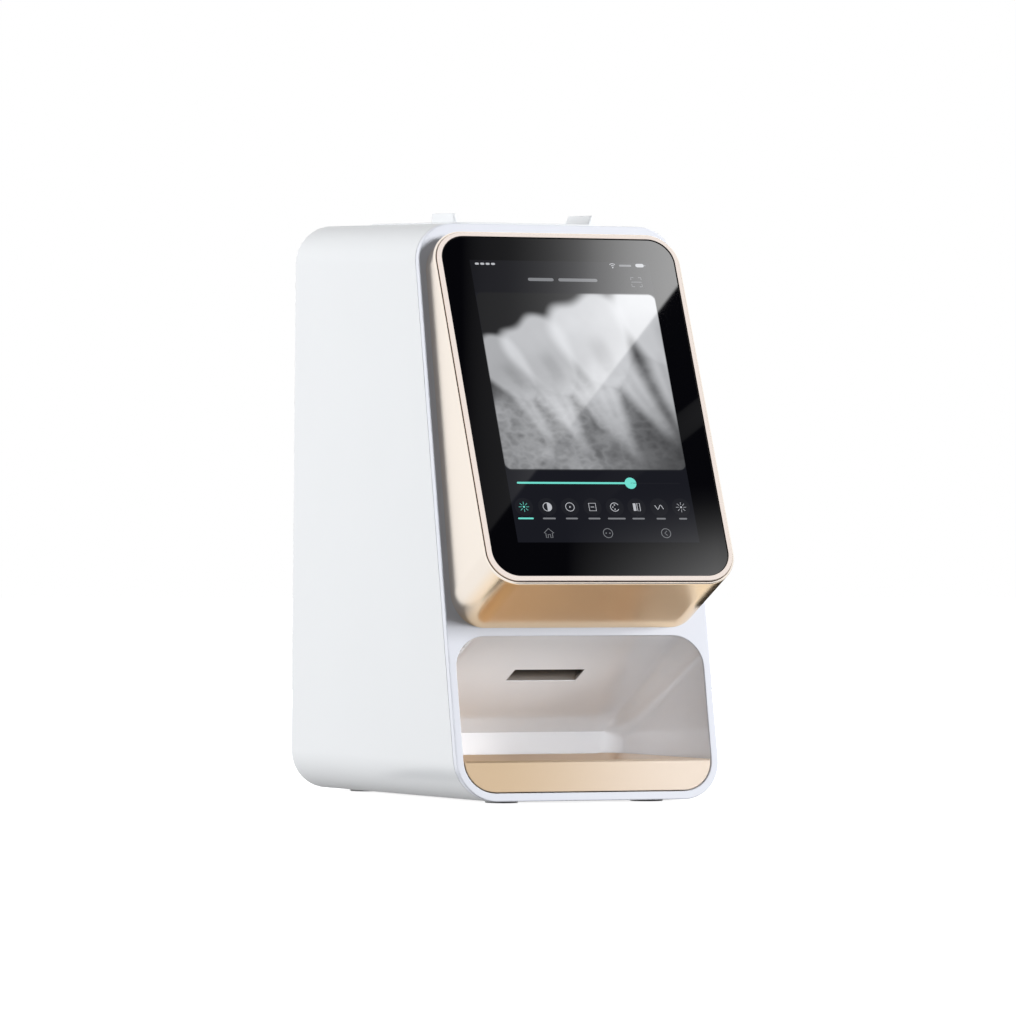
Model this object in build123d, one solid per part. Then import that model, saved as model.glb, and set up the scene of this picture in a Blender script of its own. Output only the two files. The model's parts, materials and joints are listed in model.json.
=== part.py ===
from build123d import *
from math import atan2, cos, degrees, hypot, radians, sin, tan
import os

# Reader for dental imaging plates. A plate goes into the slot in the roof, rollers draw it down
# past a laser line and an erase lamp, and it drops into the gold tray in the bay at the front.
# While the pieces are drawn, X points right, Y to the rear and Z up, and Y = 0, Z = 0 is the
# lowest front edge of the case. save_nodes() moves them so that the origin is the bottom centre.

# Case
case_width = 137.0
case_height = 280.0
case_depth = 233.0
case_radius = 19.6
shell_wall = 2.5
front_lean = 11.7
rear_lean = 1.45
roof_rise = 2.0
overrun = 40.0

# Front frame
frame_thickness = 4.0
frame_edge = 0.8
seam_gap = 0.4
spigot_wall = 1.8
spigot_length = 8.0
spigot_gap = 0.2
window_width = 112.0
window_height = 166.0
window_radius = 10.0

# Bay for the tray, and its moulded liner
side_strip = 3.8
bay_width = case_width - 2 * side_strip
bay_height = 76.8
bay_sill = 4.1
bay_radius = 15.7
bay_depth = 123.0
bay_rear_height = 30.0
bay_rear_radius = 10.0
plan_ease = 0.02
liner_wall = 1.0

# Tray
tray_top = 19.1
tray_gap = 0.5
tray_wall = 2.0
tray_front_thickness = 2.5
tray_edge = 0.4

# Display housing and screen, in the leaning plane of the glass
screen_lean = 24.56
screen_y = 9.08
screen_z = 190.6
glass_width = 122.9
glass_height = 181.4
glass_radius = 13.1
glass_thickness = 1.8
glass_gap = 0.15
ring_width = 2.2
ring_proud = 0.6
ring_depth = 4.2
ring_groove = 0.25
housing_lip = 1.1
housing_drop = 1.0
housing_wall = 2.4
shelf_thickness = 2.2
shelf_width = 5.5
gasket_width = 4.5
lcd_width = 97.4
lcd_height = 160.0
lcd_thickness = 3.2
lcd_radius = 1.5
bracket_thickness = 1.2
board_thickness = 1.6
display_board_width = 88.0
display_board_height = 110.0
display_board_drop = -12.0
display_board_gap = 4.0
standoff_radius = 2.5

# Roof panel with the inlet slot and its two guide rails
panel_width = 80.0
panel_front_y = 77.5
panel_rear_y = 200.6
panel_radius = 10.0
panel_rise = 1.0
panel_step = 1.6
panel_gap = 0.2
inlet_y = 102.4
slot_width = 36.0
inlet_length = 7.0
rail_length = 30.0
rail_spacing = 68.0
rail_base = 3.2
rail_slope = 2.2
rail_height = 4.5

# Outlet slot in the bay's ceiling
outlet_y = 59.0
outlet_width = 35.4
outlet_length = 12.0

# Plate transport
plate_gap = 5.0
chute_thickness = 1.0
chute_width = 48.0
chute_start = 4.0
chute_end_gap = 6.0
seal_thickness = 0.8
seal_height = 14.0
side_plate_thickness = 1.5
side_foot_width = 11.0
blade_front = 12.0
blade_rear = 16.0
blade_low = 12.0
blade_top_gap = 17.0
shoulder_rear = 34.0
shoulder_drop = 62.0
feed_radius = 6.0
pinch_radius = 5.5
nip_gap = 0.4
roller_length = 28.0
lower_roller_t = 40.0
upper_roller_drop = 39.2
feed_shaft_radius = 2.45
pinch_shaft_radius = 1.45
running_gap = 0.05
bush_wall = 2.0
bush_length = 3.0
roller_window_gap = 0.9
pulley_radius = 7.0
pulley_flange = 1.5
pulley_length = 7.0
flange_thickness = 1.2
pulley_gap = 0.4
belt_gap = 0.3
belt_thickness = 1.2
bar_radius = 3.0
upper_bar_n = 12.0
upper_bar_rise = 30.0
middle_bar_n = 40.0
middle_bar_t = 92.0
lower_bar_n = 88.0
lower_bar_t = 20.0

# Feed motor
motor_n = 30.0
motor_t = 62.0
motor_side = 35.0
motor_length = 30.0
motor_corner = 4.0
motor_shaft_radius = 2.5
motor_bore_depth = 12.0
motor_pilot_radius = 8.0

# Scan unit and erase lamp
scan_t = 120.0
scan_base_t = 104.0
scan_base_thickness = 4.0
scan_base_near = 14.0
scan_base_far = 86.0
side_gap = 0.3
slit_height = 4.0
mirror_n = 66.0
mirror_radius = 11.0
mirror_height = 6.0
mirror_motor_radius = 12.0
mirror_motor_height = 5.0
mirror_gap = 0.4
mirror_shaft_radius = 1.5
lens_near = 28.0
lens_depth = 8.0
lens_crown = 4.0
lens_width = 34.0
lens_height = 16.0
laser_x = 16.0
laser_near = 38.0
laser_length = 14.0
laser_block = 11.0
laser_barrel_radius = 4.0
laser_barrel_length = 5.0
collector_near = 4.2
collector_far = 30.0
collector_width = 34.0
tube_radius = 11.0
tube_length = 40.0
tube_gap = 0.2
tube_t = 136.0
cover_wall = 1.2
cover_near = 20.0
cover_height = 46.0
erase_t = 85.0
erase_board_height = 26.0
erase_board_gap = 3.7
led_count = 8
led_pitch = 4.4
led_size = 3.0
led_height = 1.5

# Electronics on the chassis
base_thickness = 1.5
base_margin = 4.0
base_width = 92.0
foot_front_gap = 10.0
foot_rear_gap = 1.5
foot_rear_height = 150.0
knee_rise = 20.0
belly_reach = 26.0
belly_gap = 23.0
bench_gap = 8.0
main_board_height = 108.0
board_rear_gap = 6.0
main_board_z = 20.0
main_standoff = 6.0
standoff_inset = 5.0
supply_width = 42.0
supply_depth = 58.0
supply_height = 34.0
supply_radius = 3.0
chip_thickness = 2.0
connector_height = 7.0
connector_depth = 16.0
connector_width = 6.0
cooler_base = 2.0
cooler_half = 12.0
chip_places = ((-8.0, 6.0), (14.0, -24.0), (14.0, 30.0))
connector_places = ((-18.0, 44.0), (18.0, 44.0), (-18.0, -44.0))
fin_count = 7
fin_pitch = 4.0
fin_thickness = 1.2
fin_height = 9.0

# Rear panel and what it carries, in the plane of the case's rear rim
rear_recess = 1.5
rear_thickness = 2.5
rear_gap = 0.3
fan_size = 40.0
fan_depth = 10.0
fan_drop = 45.0
fan_bore = 18.6
fan_hub_radius = 9.5
fan_blade_radius = 17.8
fan_blade_count = 7
fan_pin_radius = 1.0
fan_strut = 1.5
fan_strut_count = 3
fan_blade_chord = 8.2
fan_blade_thickness = 1.0
fan_blade_pitch = 38.0
grille_pitch = 5.2
grille_count = 7
grille_slot = 2.6
vent_count = 9
vent_pitch = 7.0
vent_width = 36.0
vent_height = 2.8
vent_z = 24.0
socket_inset = 24.5
inlet_z = 40.0
inlet_body_width = 27.4
inlet_body_height = 19.8
inlet_body_depth = 18.0
inlet_flange = 2.0
flange_depth = 1.4
inlet_wall = 1.6
inlet_pin_clear = 5.0
inlet_pin_x = 7.0
inlet_pin_y = 2.0
inlet_pin_half_width = 1.0
inlet_pin_half_height = 2.0
switch_z = 72.0
rocker_width = 10.6
rocker_height = 16.4
rocker_angle = 8.0
rocker_crown = 0.6
rocker_tail = 4.5
rocker_pivot = 3.0
rocker_gap = 0.4
switch_wall = 1.8
switch_depth = 14.0
rocker_pin_radius = 1.2
lan_z = 40.0
lan_size = (16.0, 13.4, 18.0)
lan_mouth = (11.8, 8.4)
usb_z = 66.0
usb_size = (14.4, 7.0, 14.0)
usb_mouth = (12.4, 5.0)
screw_radius = 1.5
screw_inset = 8.0
screw_low_z = 24.0
screw_high_gap = 18.0
screw_head_radius = 2.8
screw_head_height = 1.2
screw_length = 6.0

# Feet
foot_radius = 8.0
foot_height = 1.2
foot_inset = 30.5
foot_front_y = 22.0
foot_rear_y = 206.0

# Planes and places worked out from the sizes above
lean = radians(front_lean)
tilt = radians(screen_lean)
rise = radians(roof_rise)
fall = radians(rear_lean)
roof_front_y = case_height * tan(lean)
front = Plane(origin=(0, 0, 0), x_dir=(1, 0, 0), z_dir=(0, -cos(lean), sin(lean)))
screen = Plane(origin=(0, screen_y, screen_z), x_dir=(1, 0, 0), z_dir=(0, -cos(tilt), sin(tilt)))
roof = Plane(origin=(0, roof_front_y, case_height), x_dir=(1, 0, 0), z_dir=(0, -sin(rise), cos(rise)))
rear = Plane(origin=(0, case_depth, 0), x_dir=(-1, 0, 0), z_dir=(0, cos(fall), sin(fall)))
bay_top = bay_sill + bay_height
ceiling_y = bay_top * sin(lean)
ceiling_z = bay_top * cos(lean)
ceiling_slope = atan2(ceiling_z - bay_rear_height, bay_depth - ceiling_y)


def ceiling_at(y, grow=0.0):
    """Height of the bay's sloping ceiling at y, raised square to itself by grow."""
    return ceiling_z - (y - ceiling_y) * tan(ceiling_slope) + grow / cos(ceiling_slope)


def roof_at(y, depth=0.0):
    """Height of the roof at y, lowered square to itself by depth."""
    return case_height + (y - roof_front_y) * tan(rise) - depth / cos(rise)


# The plate's path from the outlet up to the inlet: its Z runs up the path and its Y to the rear
path_lean = atan2(inlet_y - outlet_y, roof_at(inlet_y) - ceiling_at(outlet_y))
path_length = hypot(inlet_y - outlet_y, roof_at(inlet_y) - ceiling_at(outlet_y))
upper_roller_t = path_length - chute_end_gap - upper_roller_drop
path = Plane(
    origin=(0, outlet_y, ceiling_at(outlet_y)),
    x_dir=(1, 0, 0),
    z_dir=(0, sin(path_lean), cos(path_lean)),
)
base_top = shell_wall + base_thickness
plate_front_y = bay_depth + liner_wall + foot_front_gap
plate_rear_y = case_depth - rear_recess - inlet_body_depth - foot_rear_gap
bench_y = plate_front_y + bench_gap
main_board_depth = plate_rear_y - board_rear_gap - bench_y
fan_z = case_height - fan_drop
feed_n = feed_radius + nip_gap / 2
pinch_n = -pinch_radius - nip_gap / 2
plate_x = chute_width / 2
pulley_x = plate_x + bush_length + pulley_gap
socket_x = case_width / 2 - socket_inset
foot_x = case_width / 2 - foot_inset


def span(x0, x1, y0, y1, z0, z1):
    """Box between two corners."""
    return Pos((x0 + x1) / 2, (y0 + y1) / 2, (z0 + z1) / 2) * Box(x1 - x0, y1 - y0, z1 - z0)


def rod(radius, x0, x1, y=0.0, z=0.0):
    """Cylinder along X."""
    return Pos((x0 + x1) / 2, y, z) * Rot(0, 90, 0) * Cylinder(radius, x1 - x0)


def rod_y(radius, y0, y1, x=0.0, z=0.0):
    """Cylinder along Y."""
    return Pos(x, (y0 + y1) / 2, z) * Rot(90, 0, 0) * Cylinder(radius, y1 - y0)


def post(radius, z0, z1, x=0.0, y=0.0):
    """Cylinder along Z."""
    return Pos(x, y, (z0 + z1) / 2) * Cylinder(radius, z1 - z0)


def rounded(width, height, radius, z0, z1):
    """Rounded rectangle in XY, drawn out from z0 to z1."""
    return extrude(Pos(0, 0, z0) * RectangleRounded(width, height, radius), amount=z1 - z0)


def along(direction, shape, limit=0.9):
    """Edges of a shape that run mostly along one direction."""
    return [e for e in shape.edges() if abs(e.tangent_at(0.5).dot(Vector(*direction))) > limit]


def case_block(inset=0.0, extra=0.0):
    """The case's outer block, drawn in on its four long sides and run on past both ends."""
    top = case_height - inset / cos(rise) - roof_front_y * tan(rise)
    front_y = (top * tan(lean) - extra) / (1 - tan(rise) * tan(lean))
    rear_y = (case_depth + extra - top * tan(fall)) / (1 + tan(rise) * tan(fall))
    corners = [
        (inset * tan(lean) - extra, inset),
        (front_y, top + front_y * tan(rise)),
        (rear_y, top + rear_y * tan(rise)),
        (case_depth + extra - inset * tan(fall), inset),
    ]
    side = Plane.YZ * Polygon(*corners, align=None)
    block = extrude(side, amount=case_width / 2 - inset, both=True)
    return fillet(along((0, 1, 0), block), case_radius - inset)


def front_slab(near, far):
    """Slab parallel to the front, between two depths behind it."""
    sheet = front * Pos(0, case_height / 2, -near) * Rectangle(3 * case_width, 2 * case_height)
    return extrude(sheet, amount=near - far)


def rear_slab(near, far):
    """Slab parallel to the rear rim, between two depths inside it."""
    sheet = rear * Pos(0, case_height / 2, -near) * Rectangle(3 * case_width, 2 * case_height)
    return extrude(sheet, amount=near - far)


def bay_space(grow=0.0):
    """Space of the bay, grown all round: its mouth drawn straight back under the sloping ceiling."""
    outline = RectangleRounded(bay_width + 2 * grow, bay_height + 2 * grow, bay_radius + grow)
    mouth = front * Pos(0, bay_sill + bay_height / 2, 0) * outline
    tunnel = extrude(mouth, amount=2 * bay_depth, dir=(0, 1, 0))
    back = bay_depth + grow
    wedge = [(-bay_depth, -bay_depth), (back, -bay_depth), (back, ceiling_at(back, grow))]
    wedge.append((-bay_depth, ceiling_at(-bay_depth, grow)))
    under_ceiling = extrude(Plane.YZ * Polygon(*wedge, align=None), amount=case_width, both=True)
    # The plan is a hair wider than the mouth, so that no two cutting faces coincide
    plan = RectangleRounded(bay_width + 2 * grow + plan_ease, 4 * bay_depth, bay_rear_radius + grow)
    floor_plan = extrude(Pos(0, back - 2 * bay_depth, 0) * plan, amount=bay_height * 2, both=True)
    return tunnel & under_ceiling & floor_plan


def panel_outline(step):
    """Outline of the roof panel on the roof plane, drawn in by a step."""
    near = (panel_front_y - roof_front_y) / cos(rise)
    far = (panel_rear_y - roof_front_y) / cos(rise)
    shape = RectangleRounded(panel_width - 2 * step, far - near - 2 * step, panel_radius - step)
    return roof * Pos(0, (near + far) / 2, 0) * shape


def make_shell():
    """White tube of the case, open at the front and rear, with the roof opening cut."""
    shell = case_block() - case_block(shell_wall, overrun)
    shell -= front_slab(-overrun, frame_thickness + seam_gap)
    shell -= extrude(panel_outline(panel_step), amount=2 * shell_wall, both=True)
    return shell


def make_front_frame():
    """White leaning frame round the display and the bay, with a spigot inside the shell."""
    frame = case_block() & front_slab(0, frame_thickness)
    face = frame.faces().sort_by(Axis(front.origin, front.z_dir))[-1]
    frame = fillet(face.edges(), frame_edge)
    outline = RectangleRounded(bay_width, bay_height, bay_radius)
    mouth = front * Pos(0, bay_sill + bay_height / 2, 0) * outline
    frame -= extrude(mouth, amount=3 * frame_thickness, dir=(0, 1, 0), both=True)
    window = screen * RectangleRounded(window_width, window_height, window_radius)
    frame -= extrude(window, amount=-case_depth)
    spigot_inset = shell_wall + spigot_gap
    spigot = case_block(spigot_inset) - case_block(spigot_inset + spigot_wall, overrun)
    spigot &= front_slab(frame_thickness, frame_thickness + spigot_length)
    above_bay = ceiling_z + 2 * spigot_length
    return frame + (spigot & span(-case_width, case_width, 0, case_depth, above_bay, 2 * case_height))


def make_bay():
    """Liner of the bay with the outlet slot, and the tray that lies in it."""
    liner = bay_space(liner_wall) - bay_space()
    liner -= front_slab(-overrun, frame_thickness)
    cut = Pos(0, outlet_y, ceiling_at(outlet_y)) * Rot(-degrees(ceiling_slope), 0, 0)
    liner -= cut * Box(outlet_width, outlet_length, 6 * liner_wall)
    below_top = span(-case_width, case_width, -case_depth, case_depth, -tray_top, tray_top)
    block = bay_space(-tray_gap) & below_top
    lip = block & front_slab(0, tray_front_thickness)
    pan = block - front_slab(-overrun, tray_front_thickness)
    hollow = bay_space(-tray_gap - tray_wall) - front_slab(-overrun, tray_front_thickness + tray_wall)
    lip_face = lip.faces().sort_by(Axis(front.origin, front.z_dir))[-1]
    return {
        "bay_liner": liner,
        "tray_front": fillet(lip_face.edges(), tray_edge),
        "tray_pan": pan - hollow,
    }


def make_display():
    """Gold housing, ring, glass, screen and its board, all built square to the glass."""
    ring_outer = (glass_width + 2 * ring_width, glass_height + 2 * ring_width, glass_radius + ring_width)
    seat = [side + 2 * ring_groove for side in ring_outer[:2]] + [ring_outer[2] + ring_groove]
    outer = [side + 2 * housing_lip for side in seat[:2]] + [seat[2] + housing_lip]
    hollow = [side - 2 * housing_wall for side in outer[:2]] + [outer[2] - housing_wall]
    seat_z = ring_proud - ring_depth
    shelf_back = seat_z - shelf_thickness
    housing = rounded(*outer, -overrun * 2, -housing_drop)
    top_face = housing.faces().sort_by(Axis.Z)[-1]
    housing = fillet(top_face.edges(), housing_lip * 0.8)
    housing -= rounded(*seat, seat_z, 2 * ring_depth)
    shelf_hole = [glass_width - 2 * shelf_width, glass_height - 2 * shelf_width, glass_radius - shelf_width]
    housing -= rounded(*shelf_hole, -overrun, 0)
    housing -= rounded(*hollow, -3 * overrun, shelf_back)
    housing = (screen * housing) - front_slab(0, case_depth)

    ring = rounded(*ring_outer, seat_z, ring_proud)
    ring -= rounded(glass_width, glass_height, glass_radius, seat_z - 1, ring_proud + 1)
    glass_outline = [glass_width - 2 * glass_gap, glass_height - 2 * glass_gap, glass_radius - glass_gap]
    glass = rounded(*glass_outline, -glass_thickness, 0)
    gasket = rounded(*glass_outline, seat_z, -glass_thickness)
    gasket_hole = [side - 2 * gasket_width for side in glass_outline[:2]]
    gasket_hole.append(glass_outline[2] - gasket_width)
    gasket -= rounded(*gasket_hole, 2 * seat_z, 0)
    lcd_front = -glass_thickness - glass_gap
    lcd = rounded(lcd_width, lcd_height, lcd_radius, lcd_front - lcd_thickness, lcd_front)
    bracket_width = hollow[0] - 2 * housing_wall
    bracket_height = hollow[1] - 2 * housing_wall
    bracket_back = shelf_back - bracket_thickness
    bracket = rounded(bracket_width, bracket_height, bay_rear_radius, bracket_back, shelf_back)
    bracket &= rounded(window_width, 2 * bracket_height, window_radius, 2 * bracket_back, 0)
    board_front = bracket_back - display_board_gap
    board = Pos(0, display_board_drop, 0) * rounded(
        display_board_width, display_board_height, 3.0, board_front - board_thickness, board_front
    )
    stand_x = display_board_width / 2 - 2 * standoff_radius
    stand_y = display_board_height / 2 - 2 * standoff_radius
    for x in (-stand_x, stand_x):
        for y in (display_board_drop - stand_y, display_board_drop + stand_y):
            bracket += post(standoff_radius, board_front, bracket_back, x, y)
    return {
        "display_housing": housing,
        "display_ring": screen * ring,
        "cover_glass": screen * glass,
        "display_gasket": screen * gasket,
        "lcd_panel": screen * lcd,
        "display_bracket": screen * bracket,
        "display_board": screen * board,
    }


def make_roof():
    """Raised roof panel with the inlet slot, and the rails that steer a plate into the slot."""
    panel = extrude(panel_outline(0), amount=panel_rise)
    panel += extrude(panel_outline(panel_step + panel_gap), amount=-shell_wall)
    inlet_v = (inlet_y - roof_front_y) / cos(rise)
    slot_at = roof * Pos(0, inlet_v, 0)
    slot = RectangleRounded(slot_width, inlet_length, inlet_length / 2 - 0.1)
    panel -= extrude(slot_at * slot, amount=2 * shell_wall, both=True)
    rails = []
    outer = rail_spacing / 2 + rail_base
    inner = rail_spacing / 2
    for side in (-1, 1):
        section = Polygon(
            (side * inner, panel_rise),
            (side * outer, panel_rise),
            (side * outer, panel_rise + rail_height),
            (side * (inner + rail_slope), panel_rise + rail_height),
            align=None,
        )
        upright = roof * Pos(0, inlet_v, 0) * Rot(90, 0, 0) * section
        rails.append(extrude(upright, amount=rail_length / 2, both=True))
    return {"top_panel": panel, "guide_rails": Compound(children=rails)}


def side_plate_outline():
    """Side plate of the transport in YZ: a leaning blade along the path on a wide foot."""
    top = path_length - blade_top_gap
    blade = [(-blade_front, blade_low), (-blade_front, top), (blade_rear, top)]
    blade.append((shoulder_rear, top - shoulder_drop))
    points = [path.from_local_coords((0, n, t)) for n, t in blade]
    points = [(p.Y, p.Z) for p in points]
    belly_y = plate_front_y - belly_reach
    points += [(plate_rear_y, foot_rear_height), (plate_rear_y, base_top), (plate_front_y, base_top)]
    points += [(plate_front_y, bay_rear_height + knee_rise), (belly_y, ceiling_at(belly_y, belly_gap))]
    return Plane.YZ * Polygon(*points, align=None)


def roller_axes():
    """Name, place along and behind the path, and shaft radius of each roller."""
    return [
        ("upper_feed", upper_roller_t, feed_n, feed_shaft_radius),
        ("lower_feed", lower_roller_t, feed_n, feed_shaft_radius),
        ("upper_pinch", upper_roller_t, pinch_n, pinch_shaft_radius),
        ("lower_pinch", lower_roller_t, pinch_n, pinch_shaft_radius),
    ]


def make_transport():
    """Side plates, chutes, bushes, rollers, belt and motor, drawn upright along the path."""
    nodes = {}
    plate = side_plate_outline()
    holes = [path * rod(motor_pilot_radius, -case_width, case_width, motor_n, motor_t)]
    bushes = []
    for name, t, n, shaft in roller_axes():
        bore = shaft + running_gap
        holes.append(path * rod(bore + bush_wall, -case_width, case_width, n, t))
        for x in (-plate_x - bush_length, plate_x):
            ring = rod(bore + bush_wall, x, x + bush_length, n, t)
            bushes.append(path * (ring - rod(bore, x - 1, x + bush_length + 1, n, t)))
    for name, side in (("left_side_plate", -1), ("right_side_plate", 1)):
        inner = side * plate_x
        sheet = extrude(Pos(inner, 0, 0) * plate, amount=side_plate_thickness, dir=(side, 0, 0))
        for hole in holes:
            sheet -= hole
        foot_x = side * (plate_x + side_foot_width)
        sheet += span(
            min(inner, foot_x), max(inner, foot_x),
            plate_front_y, plate_rear_y, base_top, base_top + side_plate_thickness,
        )
        nodes[name] = sheet
    nodes["roller_bushes"] = Compound(children=bushes)

    half_gap = plate_gap / 2
    chute_end = path_length - chute_end_gap
    front_chute = span(-plate_x, plate_x, -half_gap - chute_thickness, -half_gap, chute_start, chute_end)
    rear_chute = span(-plate_x, plate_x, half_gap, half_gap + chute_thickness, chute_start, chute_end)
    window_x = roller_length / 2 + roller_window_gap
    for t in (lower_roller_t, upper_roller_t):
        high = pinch_radius + roller_window_gap
        front_chute -= span(-window_x, window_x, -plate_gap, 0, t - high, t + high)
        high = feed_radius + roller_window_gap
        rear_chute -= span(-window_x, window_x, 0, plate_gap, t - high, t + high)
    erase_half = erase_board_height / 2 - led_size
    half = slot_width / 2
    front_chute -= span(-half, half, -plate_gap, 0, erase_t - erase_half, erase_t + erase_half)
    slit = slit_height / 2
    rear_chute -= span(-half, half, 0, plate_gap, scan_t - slit, scan_t + slit)
    nodes["front_chute"] = path * front_chute
    nodes["rear_chute"] = path * rear_chute
    strips = []
    for n0, n1 in ((-half_gap, -half_gap + seal_thickness), (half_gap - seal_thickness, half_gap)):
        for t0 in (chute_start, chute_end - seal_height):
            strips.append(path * span(-half, half, n0, n1, t0, t0 + seal_height))
    nodes["light_seals"] = Compound(children=strips)

    bars = []
    bar_places = [(upper_bar_n, scan_t + upper_bar_rise), (middle_bar_n, middle_bar_t)]
    bar_places.append((lower_bar_n, lower_bar_t))
    for n, t in bar_places:
        bars.append(path * rod(bar_radius, -plate_x, plate_x, n, t))
    nodes["cross_bars"] = Compound(children=bars)

    for name, t, n, shaft in roller_axes():
        if name.endswith("feed"):
            radius, end = feed_radius, pulley_x + pulley_length
        else:
            radius, end = pinch_radius, plate_x + bush_length
        half = roller_length / 2
        core = rod(shaft, -plate_x - bush_length, end, n, t)
        sleeve = rod(radius, -half, half, n, t) - rod(shaft, -half - 1, half + 1, n, t)
        nodes[name + "_shaft"] = path * core
        nodes[name + "_sleeve"] = path * sleeve
        if name.endswith("feed"):
            nodes[name + "_pulley"] = path * make_pulley(n, t, shaft)
    motor_reach = plate_x - motor_bore_depth
    motor_pulley = make_pulley(motor_n, motor_t, 0) + rod(
        motor_shaft_radius, motor_reach, pulley_x + pulley_length, motor_n, motor_t
    )
    nodes["motor_pulley"] = path * motor_pulley

    centres = [(feed_n, upper_roller_t), (feed_n, lower_roller_t), (motor_n, motor_t)]
    triangle = Polygon(*centres, align=None)
    inside = pulley_radius + belt_gap
    loop = offset(triangle, amount=inside + belt_thickness, kind=Kind.ARC)
    loop -= offset(triangle, amount=inside, kind=Kind.ARC)
    belt_x = pulley_x + flange_thickness + belt_gap
    belt_width = pulley_length - 2 * flange_thickness - 2 * belt_gap
    belt = extrude(Plane.YZ * loop, amount=belt_width, dir=(1, 0, 0))
    nodes["drive_belt"] = path * Pos(belt_x, 0, 0) * belt

    square = Plane.YZ * Pos(motor_n, motor_t) * RectangleRounded(motor_side, motor_side, motor_corner)
    body = extrude(square, amount=motor_length, dir=(-1, 0, 0))
    motor = Pos(plate_x, 0, 0) * body
    pilot = motor_pilot_radius - running_gap
    motor += rod(pilot, plate_x, plate_x + side_plate_thickness, motor_n, motor_t)
    motor -= rod(motor_shaft_radius + running_gap, motor_reach - 0.5, case_width, motor_n, motor_t)
    nodes["feed_motor"] = path * motor
    return nodes


def make_pulley(n, t, bore):
    """Belt pulley with two flanges, on the right-hand end of a shaft."""
    wide = pulley_radius + pulley_flange
    far = pulley_x + pulley_length
    pulley = rod(pulley_radius, pulley_x, far, n, t)
    pulley += rod(wide, pulley_x, pulley_x + flange_thickness, n, t)
    pulley += rod(wide, far - flange_thickness, far, n, t)
    if bore:
        pulley -= rod(bore, pulley_x - 1, far + 1, n, t)
    return pulley


def make_scan_unit():
    """Optics on a cast base behind the path: laser, spinning mirror, lens, light guide and tube."""
    nodes = {}
    reach = plate_x - side_gap
    floor_t = scan_base_t + scan_base_thickness
    nodes["scan_base"] = path * span(-reach, reach, scan_base_near, scan_base_far, scan_base_t, floor_t)
    motor = post(mirror_motor_radius, floor_t, floor_t + mirror_motor_height, 0, mirror_n)
    motor -= post(mirror_shaft_radius + running_gap, floor_t + 1, scan_t, 0, mirror_n)
    nodes["mirror_motor"] = path * motor
    low = floor_t + mirror_motor_height + mirror_gap
    hexagon = Pos(0, mirror_n, low) * RegularPolygon(mirror_radius, 6)
    mirror = extrude(hexagon, amount=mirror_height)
    mirror += post(mirror_shaft_radius, floor_t + 1 + mirror_gap, low, 0, mirror_n)
    nodes["scan_mirror"] = path * mirror
    half = lens_width / 2
    bow = ThreePointArc((-half, lens_near), (0, lens_near - lens_crown), (half, lens_near))
    flat = lens_near + lens_depth
    back = Polyline((half, lens_near), (half, flat), (-half, flat), (-half, lens_near))
    lens = extrude(Pos(0, 0, floor_t) * make_face(bow + back), amount=lens_height, dir=(0, 0, 1))
    nodes["scan_lens"] = path * lens
    block_end = laser_near + laser_length
    laser = span(
        laser_x - laser_block / 2, laser_x + laser_block / 2,
        laser_near, block_end, floor_t, scan_t + laser_block / 2,
    )
    laser += rod_y(laser_barrel_radius, block_end - 1, block_end + laser_barrel_length, laser_x, scan_t)
    nodes["laser_module"] = path * laser
    wedge = Polygon(
        (collector_near, scan_t + slit_height),
        (collector_near, scan_t + 2.5 * slit_height),
        (collector_far, tube_t + tube_radius * 0.8),
        (collector_far, tube_t - tube_radius * 0.8),
        align=None,
    )
    nodes["light_collector"] = path * extrude(Plane.YZ * wedge, amount=collector_width / 2, both=True)
    tube_near = collector_far + tube_gap
    nodes["photomultiplier"] = path * rod_y(tube_radius, tube_near, tube_near + tube_length, 0, tube_t)
    outside = span(-reach, reach, cover_near, scan_base_far, floor_t, floor_t + cover_height)
    hollow_x = reach - cover_wall
    inside_end = scan_base_far - cover_wall
    inside = span(-hollow_x, hollow_x, 0, inside_end, 0, floor_t + cover_height - cover_wall)
    nodes["optics_cover"] = path * (outside - inside)

    half_gap = plate_gap / 2 + chute_thickness
    board_n = -half_gap - erase_board_gap
    board = span(
        -reach, reach, board_n - board_thickness, board_n,
        erase_t - erase_board_height / 2, erase_t + erase_board_height / 2,
    )
    nodes["erase_board"] = path * board
    lamps = []
    for index in range(led_count):
        x = (index - (led_count - 1) / 2) * led_pitch
        lamp = span(-led_size / 2, led_size / 2, 0, led_height, -led_size / 2, led_size / 2)
        lamps.append(path * Pos(x, board_n, erase_t) * lamp)
    nodes["erase_lamps"] = Compound(children=lamps)
    return nodes


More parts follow.
